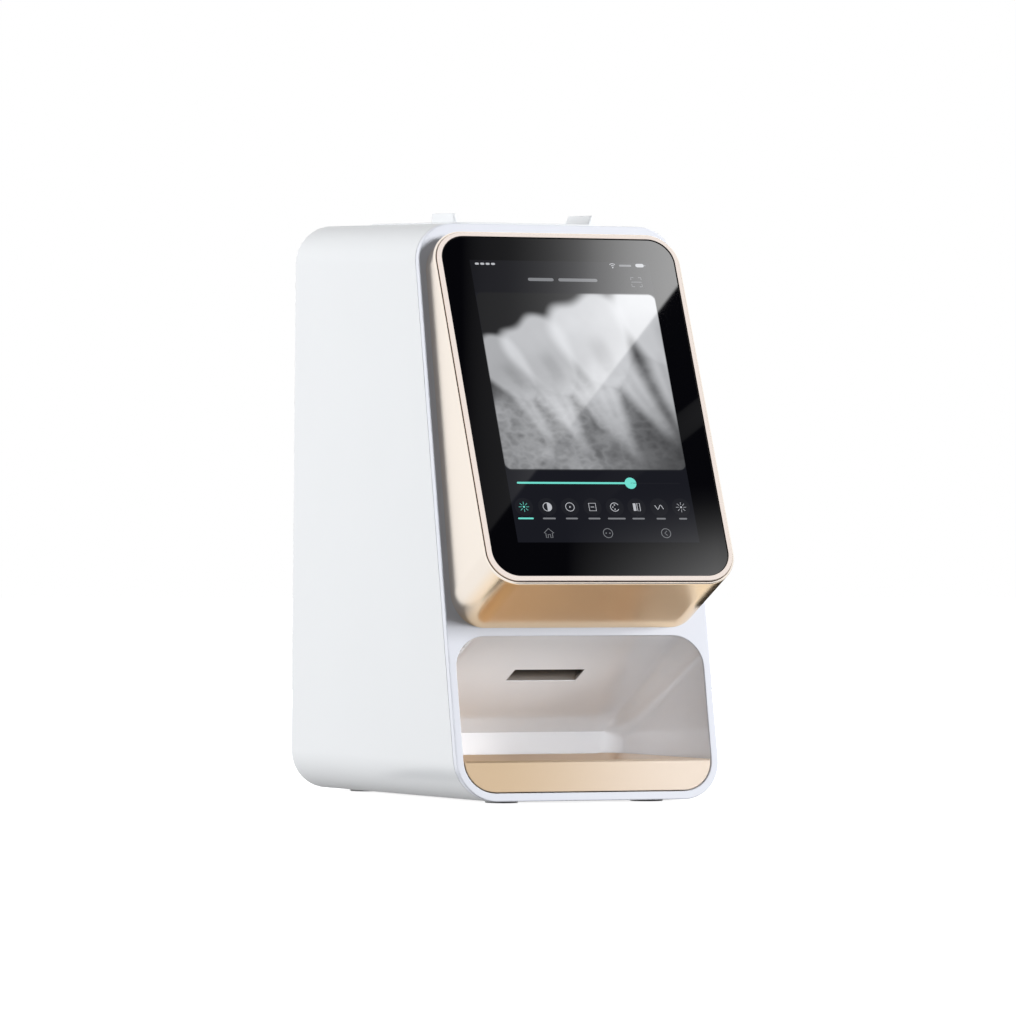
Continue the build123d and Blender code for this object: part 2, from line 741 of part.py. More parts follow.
def make_electronics():
    """Base plate, main board with its chips and cooler, and the high-voltage module."""
    nodes = {}
    half = base_width / 2
    front_y = plate_front_y - base_margin
    nodes["base_plate"] = span(-half, half, front_y, plate_rear_y + base_margin, shell_wall, base_top)
    board_x = -plate_x - side_plate_thickness - main_standoff
    top_z = main_board_z + main_board_height
    rear_y = bench_y + main_board_depth
    nodes["main_board"] = span(board_x - board_thickness, board_x, bench_y, rear_y, main_board_z, top_z)
    posts = []
    for y in (bench_y + standoff_inset, rear_y - standoff_inset):
        for z in (main_board_z + standoff_inset, top_z - standoff_inset):
            posts.append(rod(standoff_radius, board_x, board_x + main_standoff, y, z))
    nodes["board_standoffs"] = Compound(children=posts)
    face = board_x - board_thickness
    middle_y = bench_y + main_board_depth / 2
    middle_z = main_board_z + main_board_height / 2
    parts = []
    for y, z in chip_places:
        chip = Box(chip_thickness, connector_depth, connector_depth)
        parts.append(Pos(face - chip_thickness / 2, middle_y + y, middle_z + z) * chip)
    for y, z in connector_places:
        connector = Box(connector_height, connector_depth, connector_width)
        parts.append(Pos(face - connector_height / 2, middle_y + y, middle_z + z) * connector)
    nodes["board_parts"] = Compound(children=parts)
    back = face - chip_thickness - cooler_base
    cooler = span(back, back + cooler_base, -cooler_half, cooler_half, -cooler_half, cooler_half)
    for index in range(fin_count):
        y = (index - (fin_count - 1) / 2) * fin_pitch
        half_fin = fin_thickness / 2
        root = back + cooler_base / 2
        cooler += span(back - fin_height, root, y - half_fin, y + half_fin, -cooler_half, cooler_half)
    cooled_y, cooled_z = chip_places[0]
    nodes["heat_sink"] = Pos(0, middle_y + cooled_y, middle_z + cooled_z) * cooler
    half = supply_width / 2
    can = span(-half, half, bench_y, bench_y + supply_depth, base_top, base_top + supply_height)
    nodes["high_voltage_module"] = fillet(along((0, 0, 1), can), supply_radius)
    return nodes


def make_fan():
    """Axial fan against the rear panel: square frame with struts, and a rotor of pitched blades."""
    inner_face = -rear_recess - rear_thickness
    low = inner_face - fan_depth
    frame = rounded(fan_size, fan_size, 3.0, low, inner_face)
    frame -= post(fan_bore, low - 1, inner_face + 1)
    hub = post(fan_hub_radius, low, low + fan_strut)
    for index in range(fan_strut_count):
        strut = span(0, fan_bore + 1, -fan_strut, fan_strut, low, low + fan_strut)
        hub += Rot(0, 0, 360 * index / fan_strut_count + 90) * strut
    frame += hub
    frame -= post(fan_pin_radius + running_gap, low - 1, low + 3)
    rotor = post(fan_hub_radius, low + 2.0, inner_face - 1.0)
    rotor += post(fan_pin_radius, low + 0.2, low + 2.5)
    middle = (low + 2.0 + inner_face - 1.0) / 2
    for index in range(fan_blade_count):
        reach = fan_blade_radius - fan_hub_radius + fan_strut
        blade = Rot(fan_blade_pitch, 0, 0) * Box(reach, fan_blade_chord, fan_blade_thickness)
        middle_radius = (fan_blade_radius + fan_hub_radius - fan_strut) / 2
        rotor += Rot(0, 0, 360 * index / fan_blade_count) * Pos(middle_radius, 0, middle) * blade
    rotor &= post(fan_blade_radius, low + 1.8, inner_face - 0.6) + post(fan_pin_radius + 1, low, low + 3)
    at = rear * Pos(0, fan_z, 0)
    return {"fan_frame": at * frame, "fan_rotor": at * rotor}


def make_inlet():
    """Mains inlet: a deep socket with three blades that stop short of its mouth."""
    outside = -rear_recess + flange_depth
    deep = -rear_recess - inlet_body_depth
    body = rounded(inlet_body_width, inlet_body_height, 2.5, deep, -rear_recess)
    wide = (inlet_body_width + 2 * inlet_flange, inlet_body_height + 2 * inlet_flange)
    body += rounded(*wide, 3.0, -rear_recess, outside)
    hole = (inlet_body_width - 2 * inlet_wall, inlet_body_height - 2 * inlet_wall)
    floor = deep + 2 * inlet_wall
    body -= rounded(*hole, 2.0, floor, outside + 1)
    for x, y in ((-inlet_pin_x, -inlet_pin_y), (inlet_pin_x, -inlet_pin_y), (0.0, inlet_pin_y)):
        half_x, half_y = inlet_pin_half_width, inlet_pin_half_height
        body += span(x - half_x, x + half_x, y - half_y, y + half_y, floor - 1, outside - inlet_pin_clear)
    return rear * Pos(-socket_x, inlet_z, 0) * body


def make_switch():
    """Rocker switch: its frame, and the rocker drawn at its off position."""
    outside = -rear_recess + flange_depth
    cavity = (rocker_width + 2 * rocker_gap, rocker_height + 4 * rocker_gap)
    body = [side + 2 * switch_wall for side in cavity]
    frame = rounded(*body, 1.5, -rear_recess - switch_depth, -rear_recess)
    frame += rounded(body[0] + 3.0, body[1] + 3.0, 2.0, -rear_recess, outside)
    frame -= rounded(*cavity, 0.8, -rear_recess - switch_depth + 3.0, outside + 1)
    pivot = -rear_recess - rocker_pivot
    reach = cavity[0] / 2 + 1.0
    frame -= rod(rocker_pin_radius + running_gap, -reach - 0.2, reach + 0.2, 0, pivot)
    half = rocker_height / 2
    top = outside - pivot
    section = Polygon(
        (-half, top * 0.35), (-half, top + rocker_crown), (0, top - rocker_crown),
        (half, top + rocker_crown), (half, top * 0.35),
        (half * 0.45, -rocker_tail), (-half * 0.45, -rocker_tail), align=None,
    )
    rocker = extrude(Plane.YZ * section, amount=rocker_width / 2, both=True)
    rocker += rod(rocker_pin_radius, -reach, reach)
    at = rear * Pos(-socket_x, switch_z, 0)
    rocker = Pos(0, 0, pivot) * Rot(-rocker_angle, 0, 0) * rocker
    return {"switch_frame": at * frame, "power_rocker": at * rocker}


def make_socket(size, mouth, z):
    """Data socket: a can behind the rear panel with one rectangular mouth."""
    width, height, depth = size
    hole_width, hole_height = mouth
    front_z = -rear_recess - rear_thickness / 2
    can = span(-width / 2, width / 2, -height / 2, height / 2, front_z - depth, front_z)
    can -= span(-hole_width / 2, hole_width / 2, -hole_height / 2, hole_height / 2, front_z - depth + 2, 1)
    return rear * Pos(socket_x, z, 0) * can


def make_rear():
    """Rear panel with its vents and cut-outs, the sockets, switch and screws."""
    panel = case_block(shell_wall + rear_gap, overrun)
    panel &= rear_slab(rear_recess, rear_recess + rear_thickness)
    cuts = []
    for index in range(grille_count):
        y = (index - (grille_count - 1) / 2) * grille_pitch
        width = 2 * max(fan_bore ** 2 - y ** 2, grille_slot ** 2) ** 0.5 - fan_strut
        cuts.append(Pos(0, fan_z + y) * SlotOverall(width, grille_slot))
    for index in range(vent_count):
        cuts.append(Pos(0, vent_z + vent_pitch * index) * SlotOverall(vent_width, vent_height))
    fit = 2 * panel_gap
    cuts.append(Pos(-socket_x, inlet_z) * Rectangle(inlet_body_width + fit, inlet_body_height + fit))
    switch_width = rocker_width + 2 * rocker_gap + 2 * switch_wall + fit
    switch_height = rocker_height + 4 * rocker_gap + 2 * switch_wall + fit
    cuts.append(Pos(-socket_x, switch_z) * Rectangle(switch_width, switch_height))
    cuts.append(Pos(socket_x, lan_z) * Rectangle(lan_size[0] + fit, lan_size[1] + fit))
    cuts.append(Pos(socket_x, usb_z) * Rectangle(usb_size[0] + fit, usb_size[1] + fit))
    for cut in cuts:
        panel -= extrude(rear * cut, amount=-3 * rear_thickness)
    screws = []
    side_x = case_width / 2 - shell_wall - rear_gap - screw_inset
    high_z = case_height - screw_high_gap
    for x in (-side_x, side_x):
        for z in (screw_low_z, (screw_low_z + high_z) / 2, high_z):
            panel -= rear * post(screw_radius + running_gap, -2 * screw_length, 0, x, z)
            head = post(screw_head_radius, -rear_recess, -rear_recess + screw_head_height, x, z)
            shaft = post(screw_radius, -rear_recess - screw_length, -rear_recess, x, z)
            screws.append(rear * (head + shaft))
    nodes = {"rear_panel": panel, "rear_screws": Compound(children=screws), "power_inlet": make_inlet()}
    nodes.update(make_switch())
    nodes["lan_socket"] = make_socket(lan_size, lan_mouth, lan_z)
    nodes["usb_socket"] = make_socket(usb_size, usb_mouth, usb_z)
    nodes.update(make_fan())
    return nodes


def make_feet():
    """Four rubber feet under the shell."""
    feet = []
    for x in (-foot_x, foot_x):
        for y in (foot_front_y, foot_rear_y):
            foot = post(foot_radius, -foot_height, 0, x, y)
            feet.append(foot)
    return Compound(children=feet)


def all_nodes():
    """Every sub-part by its name, in the drawing frame."""
    nodes = {"outer_shell": make_shell(), "front_frame": make_front_frame()}
    nodes.update(make_bay())
    nodes.update(make_display())
    nodes.update(make_roof())
    nodes.update(make_transport())
    nodes.update(make_scan_unit())
    nodes.update(make_electronics())
    nodes.update(make_rear())
    nodes["rubber_feet"] = make_feet()
    return nodes


def save_nodes(nodes):
    """Move every sub-part so that the origin is the middle of the underside, and write it."""
    os.makedirs("parts", exist_ok=True)
    boxes = [shape.bounding_box() for shape in nodes.values()]
    middle_y = (min(box.min.Y for box in boxes) + max(box.max.Y for box in boxes)) / 2
    for name, shape in nodes.items():
        solids = [Pos(0, -middle_y, foot_height) * solid for solid in shape.solids()]
        placed = solids[0] if len(solids) == 1 else Compound(children=solids)
        export_step(placed, os.path.join("parts", name + ".step"))
    return middle_y


nodes = all_nodes()
middle_y = save_nodes(nodes)
print(len(nodes), "nodes, origin", round(middle_y, 3), "behind the front edge")
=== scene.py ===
import json
import math
import bmesh
import bpy
import numpy as np
from mathutils import Matrix, Vector
from mathutils.geometry import tessellate_polygon


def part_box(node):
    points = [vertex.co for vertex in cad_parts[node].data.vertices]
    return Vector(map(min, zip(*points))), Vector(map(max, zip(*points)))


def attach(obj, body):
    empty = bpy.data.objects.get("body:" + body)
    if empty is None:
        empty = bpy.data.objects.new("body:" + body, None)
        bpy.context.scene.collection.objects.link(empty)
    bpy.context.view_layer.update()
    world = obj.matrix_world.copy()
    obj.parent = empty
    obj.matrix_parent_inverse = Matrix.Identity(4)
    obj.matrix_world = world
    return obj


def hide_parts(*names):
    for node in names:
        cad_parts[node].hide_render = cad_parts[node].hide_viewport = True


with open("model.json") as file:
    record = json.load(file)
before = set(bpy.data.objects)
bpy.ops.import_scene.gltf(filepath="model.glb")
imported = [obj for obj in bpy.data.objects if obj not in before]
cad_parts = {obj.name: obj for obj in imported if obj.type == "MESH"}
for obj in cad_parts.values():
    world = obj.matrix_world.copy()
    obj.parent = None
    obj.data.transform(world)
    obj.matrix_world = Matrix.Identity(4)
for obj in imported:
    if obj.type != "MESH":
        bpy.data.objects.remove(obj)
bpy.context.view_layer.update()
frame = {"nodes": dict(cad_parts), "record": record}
print("frame loaded:", len(frame["nodes"]), "nodes")

# Reader for dental imaging plates. Sizes are in metres, as the case was drawn: Y = 0 and Z = 0 at its
# lowest front edge. rowShift carries them into the frame's row.
case = {
    "width": 0.137, "height": 0.280, "depth": 0.233, "radius": 0.0196, "wall": 0.0025,
    "frontLean": math.radians(11.7), "rearLean": math.radians(1.45), "roofRise": math.radians(2.0),
    "frameThickness": 0.004, "frameEdge": 0.0008, "seamGap": 0.0004, "rimEdge": 0.00025,
}
rowShift = np.array([0.0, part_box("outer_shell")[1].y - case["depth"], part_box("outer_shell")[0].z])
display = {
    "lean": math.radians(24.56), "y": 0.00908, "z": 0.1906,
    "glassWidth": 0.1229, "glassHeight": 0.1814, "glassRadius": 0.0131, "glassThickness": 0.0018,
    "glassGap": 0.00015, "glassEdge": 0.0003,
    "ringWidth": 0.0022, "ringProud": 0.0006, "ringDepth": 0.0042, "ringEdge": 0.0003,
    "ringFall": 0.14, "ringBow": 60.0, "ringGroove": 0.00025,
    "lip": 0.0011, "lipEdge": 0.00088, "seatEdge": 0.0001, "drop": 0.001, "wall": 0.0024,
    "shelfWidth": 0.0055, "shelfThickness": 0.0022,
    "windowWidth": 0.112, "windowHeight": 0.166, "windowRadius": 0.010,
}
bay = {
    "strip": 0.0038, "height": 0.0768, "sill": 0.0041, "radius": 0.0157, "depth": 0.123,
    "rearHeight": 0.030, "rearRadius": 0.010, "liner": 0.001, "mouthEdge": 0.0005,
    "slotY": 0.059, "slotWidth": 0.0354, "slotLength": 0.012, "throat": 0.0032, "throatWall": 0.0008,
    "throatGap": 0.00005, "throatLow": 0.0002, "throatLean": 0.0060, "lip": 0.0009, "backCorner": 0.008,
}
tray = {"top": 0.0191, "gap": 0.0005, "wall": 0.002, "front": 0.0025, "edge": 0.0005}
roofTop = {
    "width": 0.080, "frontY": 0.0775, "rearY": 0.2006, "radius": 0.010, "rise": 0.001, "step": 0.0016,
    "gap": 0.0002, "edge": 0.0004, "inletY": 0.1024, "slotWidth": 0.036, "slotLength": 0.007,
    "slotRadius": 0.0034, "railLength": 0.030, "railSpacing": 0.068, "railBase": 0.0032, "railSlope": 0.0022,
    "railHeight": 0.0045, "railCorner": 0.0014, "railEdge": 0.0004,
}


# A plane by its origin, its x axis and its normal, in the frame's row; its y axis = normal cross x axis
def makePlane(origin, xAxis, normal):
    xAxis = np.array(xAxis, float)
    normal = np.array(normal, float)
    start = np.array(origin, float) + rowShift
    return {"origin": start, "x": xAxis, "y": np.cross(normal, xAxis), "n": normal}


# Point = origin + x * X + y * Y + z * normal
def onPlane(plane, x, y, z):
    x, y, z = np.broadcast_arrays(x, y, z)
    point = x[..., None] * plane["x"] + y[..., None] * plane["y"] + z[..., None] * plane["n"]
    return plane["origin"] + point


# Height of points above a plane = (point - origin) . normal
def above(points, plane):
    return (points - plane["origin"]) @ plane["n"]


# Where the lines point + t * direction reach a height above a plane:
# t = (height - height above) / (direction . normal)
def meet(points, direction, plane, height):
    direction = np.broadcast_to(direction, points.shape)
    t = (height - above(points, plane)) / (direction @ plane["n"])
    return points + t[..., None] * direction


cosFront, sinFront = math.cos(case["frontLean"]), math.sin(case["frontLean"])
cosRise, sinRise = math.cos(case["roofRise"]), math.sin(case["roofRise"])
roofFrontY = case["height"] * math.tan(case["frontLean"])
frontPlane = makePlane((0, 0, 0), (1, 0, 0), (0, -cosFront, sinFront))
screenNormal = (0, -math.cos(display["lean"]), math.sin(display["lean"]))
screenPlane = makePlane((0, display["y"], display["z"]), (1, 0, 0), screenNormal)
roofPlane = makePlane((0, roofFrontY, case["height"]), (1, 0, 0), (0, -sinRise, cosRise))
rearNormal = (0, math.cos(case["rearLean"]), math.sin(case["rearLean"]))
rearPlane = makePlane((0, case["depth"], 0), (-1, 0, 0), rearNormal)
floorPlane = makePlane((0, 0, 0), (1, 0, 0), (0, 0, 1))


# Quads of a grid of rows and columns; either direction may close on itself, and cells in skip stay open
def gridPatch(points, closeRows=False, closeColumns=False, skip=()):
    rows, columns = points.shape[:2]
    cellRows = rows if closeRows else rows - 1
    cellColumns = columns if closeColumns else columns - 1
    i, j = np.meshgrid(np.arange(cellRows), np.arange(cellColumns), indexing="ij")
    keep = np.ones(i.shape, bool)
    for cell in skip:
        keep[cell] = False
    i, j = i[keep], j[keep]
    row, nextRow = i * columns, ((i + 1) % rows) * columns
    nextColumn = (j + 1) % columns
    corners = [row + j, row + nextColumn, nextRow + nextColumn, nextRow + j]
    return points.reshape(-1, 3), np.stack(corners, axis=-1).tolist()


# Flat face between an outer loop and the holes in it
def flatPatch(*loops):
    points = np.concatenate(loops)
    triangles = tessellate_polygon([[Vector(p) for p in loop] for loop in loops])
    return points, [list(t) for t in triangles]


# Rounded rectangle as corner centre(u) + radius * direction(u), turning left from its lower right corner
def roundedOutline(width, height, radius, x=0.0, y=0.0, steps=14):
    turn = np.linspace(-90, 0, steps + 1)
    angle = np.radians(np.concatenate([turn, turn + 90, turn + 180, turn + 270]))
    signX = np.repeat([1, 1, -1, -1], steps + 1)
    signY = np.repeat([-1, 1, 1, -1], steps + 1)
    centre = np.stack([x + signX * (width / 2 - radius), y + signY * (height / 2 - radius)], axis=-1)
    direction = np.stack([np.cos(angle), np.sin(angle)], axis=-1)
    return {"centre": centre, "radius": radius, "direction": direction}


# Point(v, u) = corner centre(u) + (radius + offset(v)) * direction(u), at height(v) above the plane
def sweepOutline(plane, outline, profile):
    profile = np.array(profile, float)
    reach = (outline["radius"] + profile[:, 0])[:, None, None]
    flat = outline["centre"][None] + reach * outline["direction"][None]
    return onPlane(plane, flat[..., 0], flat[..., 1], profile[:, 1][:, None])


# Round stretch of a profile: centre + radius * (cos angle, sin angle)
def bend(x, y, radius, start, end, steps=5):
    angle = np.radians(np.linspace(start, end, steps + 1))
    return [(x + radius * math.cos(a), y + radius * math.sin(a)) for a in angle]


# 0 below low, 1 above high, 3t^2 - 2t^3 between
def smoothStep(low, high, value):
    t = np.clip((value - low) / (high - low), 0.0, 1.0)
    return t * t * (3 - 2 * t)


# Distances in metres within which points are one and edges have no length, angle in degrees
meshLook = {"weld": 2e-6, "degenerate": 1e-7, "smoothAngle": 32.0}


# One mesh of several patches: points one after another, faces counted on from each patch's first point
def joinPatches(name, patches):
    faces = []
    start = 0
    for points, cells in patches:
        faces += [[index + start for index in cell] for cell in cells]
        start += len(points)
    mesh = bpy.data.meshes.new(name)
    mesh.from_pydata(np.concatenate([points for points, cells in patches]).tolist(), [], faces)
    return mesh


# Faces turned outward, in a welded mesh after its double points and faces of no size are gone
def turnOutward(mesh, weld):
    shape = bmesh.new()
    shape.from_mesh(mesh)
    if weld:
        bmesh.ops.remove_doubles(shape, verts=shape.verts, dist=meshLook["weld"])
        bmesh.ops.dissolve_degenerate(shape, edges=shape.edges, dist=meshLook["degenerate"])
    bmesh.ops.recalc_face_normals(shape, faces=shape.faces)
    shape.to_mesh(mesh)
    shape.free()


# Object of a mesh, riding on a body, with its slot and the nodes whose place it takes
def placePiece(mesh, finish, body, nodes=()):
    mesh.materials.append(finish)
    piece = bpy.data.objects.new(mesh.name, mesh)
    bpy.context.scene.collection.objects.link(piece)
    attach(piece, body)
    if nodes:
        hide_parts(*nodes)
    return piece


# Piece of several patches, welded, smooth up to an angle, in its slot's finish unless another is given
def buildPiece(name, patches, slotName, body, nodes=(), finish=None):
    mesh = joinPatches(name, patches)
    turnOutward(mesh, weld=True)
    mesh.polygons.foreach_set("use_smooth", np.ones(len(mesh.polygons), bool))
    mesh.set_sharp_from_angle(angle=math.radians(meshLook["smoothAngle"]))
    piece = placePiece(mesh, finish or finishes[slotName], body, nodes)
    weighted = piece.modifiers.new("evenShading", "WEIGHTED_NORMAL")
    weighted.keep_sharp = True
    return piece


# Finishes. Each has a slow drift of tone, a fine grain in its relief and a slightly uneven gloss. Some go
# over into a second colour, along a span of one coordinate of the place or of the normal.
finishLooks = {
    "white_shell": {"colour": (0.855, 0.875, 0.895), "rough": 0.36, "grain": 2600, "relief": 2.0e-6,
                    "drift": 0.012},
    "white_frame": {"colour": (0.855, 0.880, 0.955), "rough": 0.30, "grain": 2600, "relief": 1.5e-6,
                    "drift": 0.010},
    "liner_plastic": {"colour": (0.83, 0.82, 0.84), "rough": 0.22, "grain": 1500, "relief": 1.0e-6,
                      "drift": 0.02, "coat": 0.9, "coatRough": 0.06},
    # Throat of the outlet slot: a darker copy of the liner that darkens further, to near black, towards its
    # top; this is painted shade inside the slot
    "slot_throat_painted_shade": {"colour": (0.40, 0.39, 0.39), "rough": 0.40, "grain": 1500, "relief": 1.0e-6,
                    "drift": 0.02, "to": (0.03, 0.03, 0.03), "by": "place", "axis": "Z",
                    "span": (0.0585, 0.0632)},
    "foot_rubber": {"colour": (0.60, 0.60, 0.61), "rough": 0.70, "grain": 3000, "relief": 1.2e-5,
                    "drift": 0.06},
    # Gold housing: faces turned downward go over into a warmer orange, a painted reflection of the gold tray
    # below them
    "gold_satin": {"colour": (0.985, 0.895, 0.80), "rough": 0.24, "metal": 1.0, "grain": 5200,
                   "relief": 1.5e-6, "drift": 0.012, "to": (1.0, 0.75, 0.47), "by": "normal", "axis": "Z",
                   "span": (-0.35, -0.88)},
    "rose_ring": {"colour": (0.90, 0.80, 0.74), "rough": 0.22, "metal": 1.0, "grain": 5200, "relief": 1.0e-6,
                  "drift": 0.015},
    # Tray gold: deeper orange on the left going over into paler gold on the right, a painted pale reflection
    # on the tray's right side
    "gold_tray": {"colour": (0.70, 0.525, 0.345), "rough": 0.32, "metal": 0.6, "grain": 4200,
                  "relief": 1.2e-6, "drift": 0.015, "to": (0.92, 0.79, 0.67), "by": "place", "axis": "X",
                  "span": (-0.055, 0.060)},
    "screen_glass": {"colour": (0.002, 0.002, 0.003), "rough": 0.02, "grain": 60, "relief": 1.0e-7,
                     "drift": 0.05},
    "dark_rubber": {"colour": (0.035, 0.035, 0.037), "rough": 0.78, "grain": 3000, "relief": 1.5e-5,
                    "drift": 0.12},
    "roller_rubber": {"colour": (0.055, 0.06, 0.068), "rough": 0.62, "grain": 4200, "relief": 1.2e-5,
                      "drift": 0.10},
    "black_plastic": {"colour": (0.022, 0.023, 0.025), "rough": 0.42, "grain": 2400, "relief": 8.0e-6,
                      "drift": 0.10},
    "sheet_steel": {"colour": (0.60, 0.61, 0.62), "rough": 0.32, "metal": 1.0, "grain": 420, "relief": 1.5e-6,
                    "drift": 0.06, "stretch": (1.0, 14.0, 1.0)},
    "steel_rod": {"colour": (0.70, 0.70, 0.71), "rough": 0.20, "metal": 1.0, "grain": 1600, "relief": 1.0e-6,
                  "drift": 0.05, "stretch": (12.0, 1.0, 1.0)},
    "cast_aluminium": {"colour": (0.57, 0.58, 0.59), "rough": 0.50, "metal": 1.0, "grain": 900,
                       "relief": 2.0e-5, "drift": 0.10},
    "brass_bush": {"colour": (0.74, 0.55, 0.25), "rough": 0.26, "metal": 1.0, "grain": 2400, "relief": 2.0e-6,
                   "drift": 0.08},
    "polished_mirror": {"colour": (0.92, 0.92, 0.93), "rough": 0.02, "metal": 1.0, "grain": 40,
                        "relief": 1.0e-8, "drift": 0.01},
    "clear_optic": {"colour": (0.93, 0.96, 0.96), "rough": 0.03, "grain": 60, "relief": 1.0e-8, "drift": 0.01,
                    "clear": 0.92},
    "lamp_red": {"colour": (0.55, 0.02, 0.015), "rough": 0.12, "grain": 900, "relief": 1.0e-6, "drift": 0.08,
                 "clear": 0.35},
}

# Noise that all finishes share; the fine noise takes its scale from the finish's grain
noiseLook = {
    "slow": {"Scale": 16.0, "Detail": 3.0}, "fine": {"Detail": 4.0, "Roughness": 0.6},
    "glossSpread": 0.12, "reliefStrength": 0.6,
}


# Node of a kind with its inputs set by name
def addNode(tree, kind, **inputs):
    node = tree.nodes.new(kind)
    for key, value in inputs.items():
        node.inputs[key.replace("_", " ")].default_value = value
    return node


# Result of one operation on two values, each a number or another node's output
def mathNode(tree, operation, first, second):
    node = tree.nodes.new("ShaderNodeMath")
    node.operation = operation
    for socket, value in zip(node.inputs, (first, second)):
        if isinstance(value, float):
            socket.default_value = value
        else:
            tree.links.new(value, socket)
    return node.outputs[0]


# Colour = first * (1 - factor) + second * factor; first may be a colour or another node's output
def mixColours(tree, factor, first, second):
    mix = tree.nodes.new("ShaderNodeMix")
    mix.data_type = "RGBA"
    mix.inputs["B"].default_value = (*second, 1)
    if isinstance(first, tuple):
        mix.inputs["A"].default_value = (*first, 1)
    else:
        tree.links.new(first, mix.inputs["A"])
    tree.links.new(factor, mix.inputs["Factor"])
    return mix.outputs["Result"]


# Tone that goes over into another colour by a smooth step between two values of one coordinate
def blendedTone(tree, colour, look, sources):
    split = tree.nodes.new("ShaderNodeSeparateXYZ")
    weight = addNode(tree, "ShaderNodeMapRange", From_Min=look["span"][0], From_Max=look["span"][1])
    weight.interpolation_type = "SMOOTHSTEP"
    tree.links.new(sources[look["by"]], split.inputs[0])
    tree.links.new(split.outputs[look["axis"]], weight.inputs["Value"])
    return mixColours(tree, weight.outputs["Result"], colour, look["to"])


# Tone = colour * (1 -+ drift by slow noise); height and gloss follow fine noise of the grain's scale
def makeFinish(name, look):
    material = bpy.data.materials.new(name)
    material.use_nodes = True
    tree = material.node_tree
    shader = tree.nodes["Principled BSDF"]
    place = tree.nodes.new("ShaderNodeTexCoord")
    stretched = addNode(tree, "ShaderNodeMapping", Scale=look.get("stretch", (1.0, 1.0, 1.0)))
    slow = addNode(tree, "ShaderNodeTexNoise", **noiseLook["slow"])
    fine = addNode(tree, "ShaderNodeTexNoise", Scale=look["grain"], **noiseLook["fine"])
    dark = tuple(c * (1 - look["drift"]) for c in look["colour"])
    light = tuple(min(1.0, c * (1 + look["drift"])) for c in look["colour"])
    spread = noiseLook["glossSpread"]
    gloss = addNode(
        tree, "ShaderNodeMapRange", To_Min=look["rough"] * (1 - spread), To_Max=look["rough"] * (1 + spread)
    )
    relief = addNode(tree, "ShaderNodeBump", Strength=noiseLook["reliefStrength"], Distance=look["relief"])
    link = tree.links.new
    link(place.outputs["Object"], slow.inputs["Vector"])
    link(place.outputs["Object"], stretched.inputs["Vector"])
    link(stretched.outputs["Vector"], fine.inputs["Vector"])
    link(fine.outputs["Fac"], gloss.inputs["Value"])
    link(fine.outputs["Fac"], relief.inputs["Height"])
    colour = mixColours(tree, slow.outputs["Fac"], dark, light)
    if "to" in look:
        normal = tree.nodes.new("ShaderNodeNewGeometry").outputs["Normal"]
        colour = blendedTone(tree, colour, look, {"normal": normal, "place": place.outputs["Object"]})
    link(colour, shader.inputs["Base Color"])
    link(gloss.outputs["Result"], shader.inputs["Roughness"])
    link(relief.outputs["Normal"], shader.inputs["Normal"])
    shader.inputs["Metallic"].default_value = look.get("metal", 0.0)
    shader.inputs["Coat Weight"].default_value = look.get("coat", 0.0)
    shader.inputs["Coat Roughness"].default_value = look.get("coatRough", 0.03)
    shader.inputs["Transmission Weight"].default_value = look.get("clear", 0.0)
    return material


boardLook = {
    "colour": (0.018, 0.135, 0.062), "rough": 0.34, "grain": 1400, "relief": 4.0e-6, "drift": 0.12,
    "cells": 260.0, "unevenness": 0.75, "period": 0.12, "edge": (0.05, 0.07), "trace": (0.045, 0.24, 0.10),
}


# Green board: copper traces where a folded cell pattern = distance to the cell's point, back and forth
# within a period, rises over an edge
def makeBoardFinish():
    look = boardLook
    material = makeFinish("circuit_board", look)
    tree = material.node_tree
    shader = tree.nodes["Principled BSDF"]
    tone = shader.inputs["Base Color"].links[0].from_socket
    place = tree.nodes.new("ShaderNodeTexCoord")
    cells = addNode(tree, "ShaderNodeTexVoronoi", Scale=look["cells"], Randomness=look["unevenness"])
    cells.distance = "MANHATTAN"
    cells.feature = "F1"
    tree.links.new(place.outputs["Object"], cells.inputs["Vector"])
    folded = mathNode(tree, "PINGPONG", cells.outputs["Distance"], look["period"])
    line = addNode(tree, "ShaderNodeMapRange", From_Min=look["edge"][0], From_Max=look["edge"][1])
    tree.links.new(folded, line.inputs["Value"])
    colour = mixColours(tree, line.outputs["Result"], tone, look["trace"])
    tree.links.new(colour, shader.inputs["Base Color"])
    return material


# Lit screen under gloss: the emission is the mesh's own colour attribute
def makeScreenFinish(name):
    material = makeFinish(name, finishLooks["screen_glass"])
    tree = material.node_tree
    shader = tree.nodes["Principled BSDF"]
    picture = tree.nodes.new("ShaderNodeAttribute")
    picture.attribute_name = "picture"
    tree.links.new(picture.outputs["Color"], shader.inputs["Emission Color"])
    shader.inputs["Emission Strength"].default_value = 1.0
    return material


finishes = {name: makeFinish(name, look) for name, look in finishLooks.items()}
finishes["circuit_board"] = makeBoardFinish()
screenFinish = makeScreenFinish("lit_screen")
print("finishes made:", len(finishes) + 1)


# Ring of the case's outline on a plane: each contour point is slid along its own long line to the plane
def caseRing(inset, plane, height, steps=14):
    reach = case["radius"] - inset
    half = case["width"] / 2 - case["radius"]
    turn = np.radians(np.linspace(-90, 0, steps + 1))
    angle = np.concatenate([turn, turn + math.pi / 2, turn + math.pi, turn + math.pi * 1.5])
    side = np.repeat([half, half, -half, -half], steps + 1)
    isTop = np.repeat([False, True, True, False], steps + 1)
    low = onPlane(floorPlane, side + reach * np.cos(angle), 0.0, case["radius"] + reach * np.sin(angle))
    high = onPlane(roofPlane, side + reach * np.cos(angle), 0.0, reach * np.sin(angle) - case["radius"])
    points = np.where(isTop[:, None], high, low)
    lines = np.where(isTop[:, None], roofPlane["y"], floorPlane["y"])
    return meet(points, lines, plane, height)


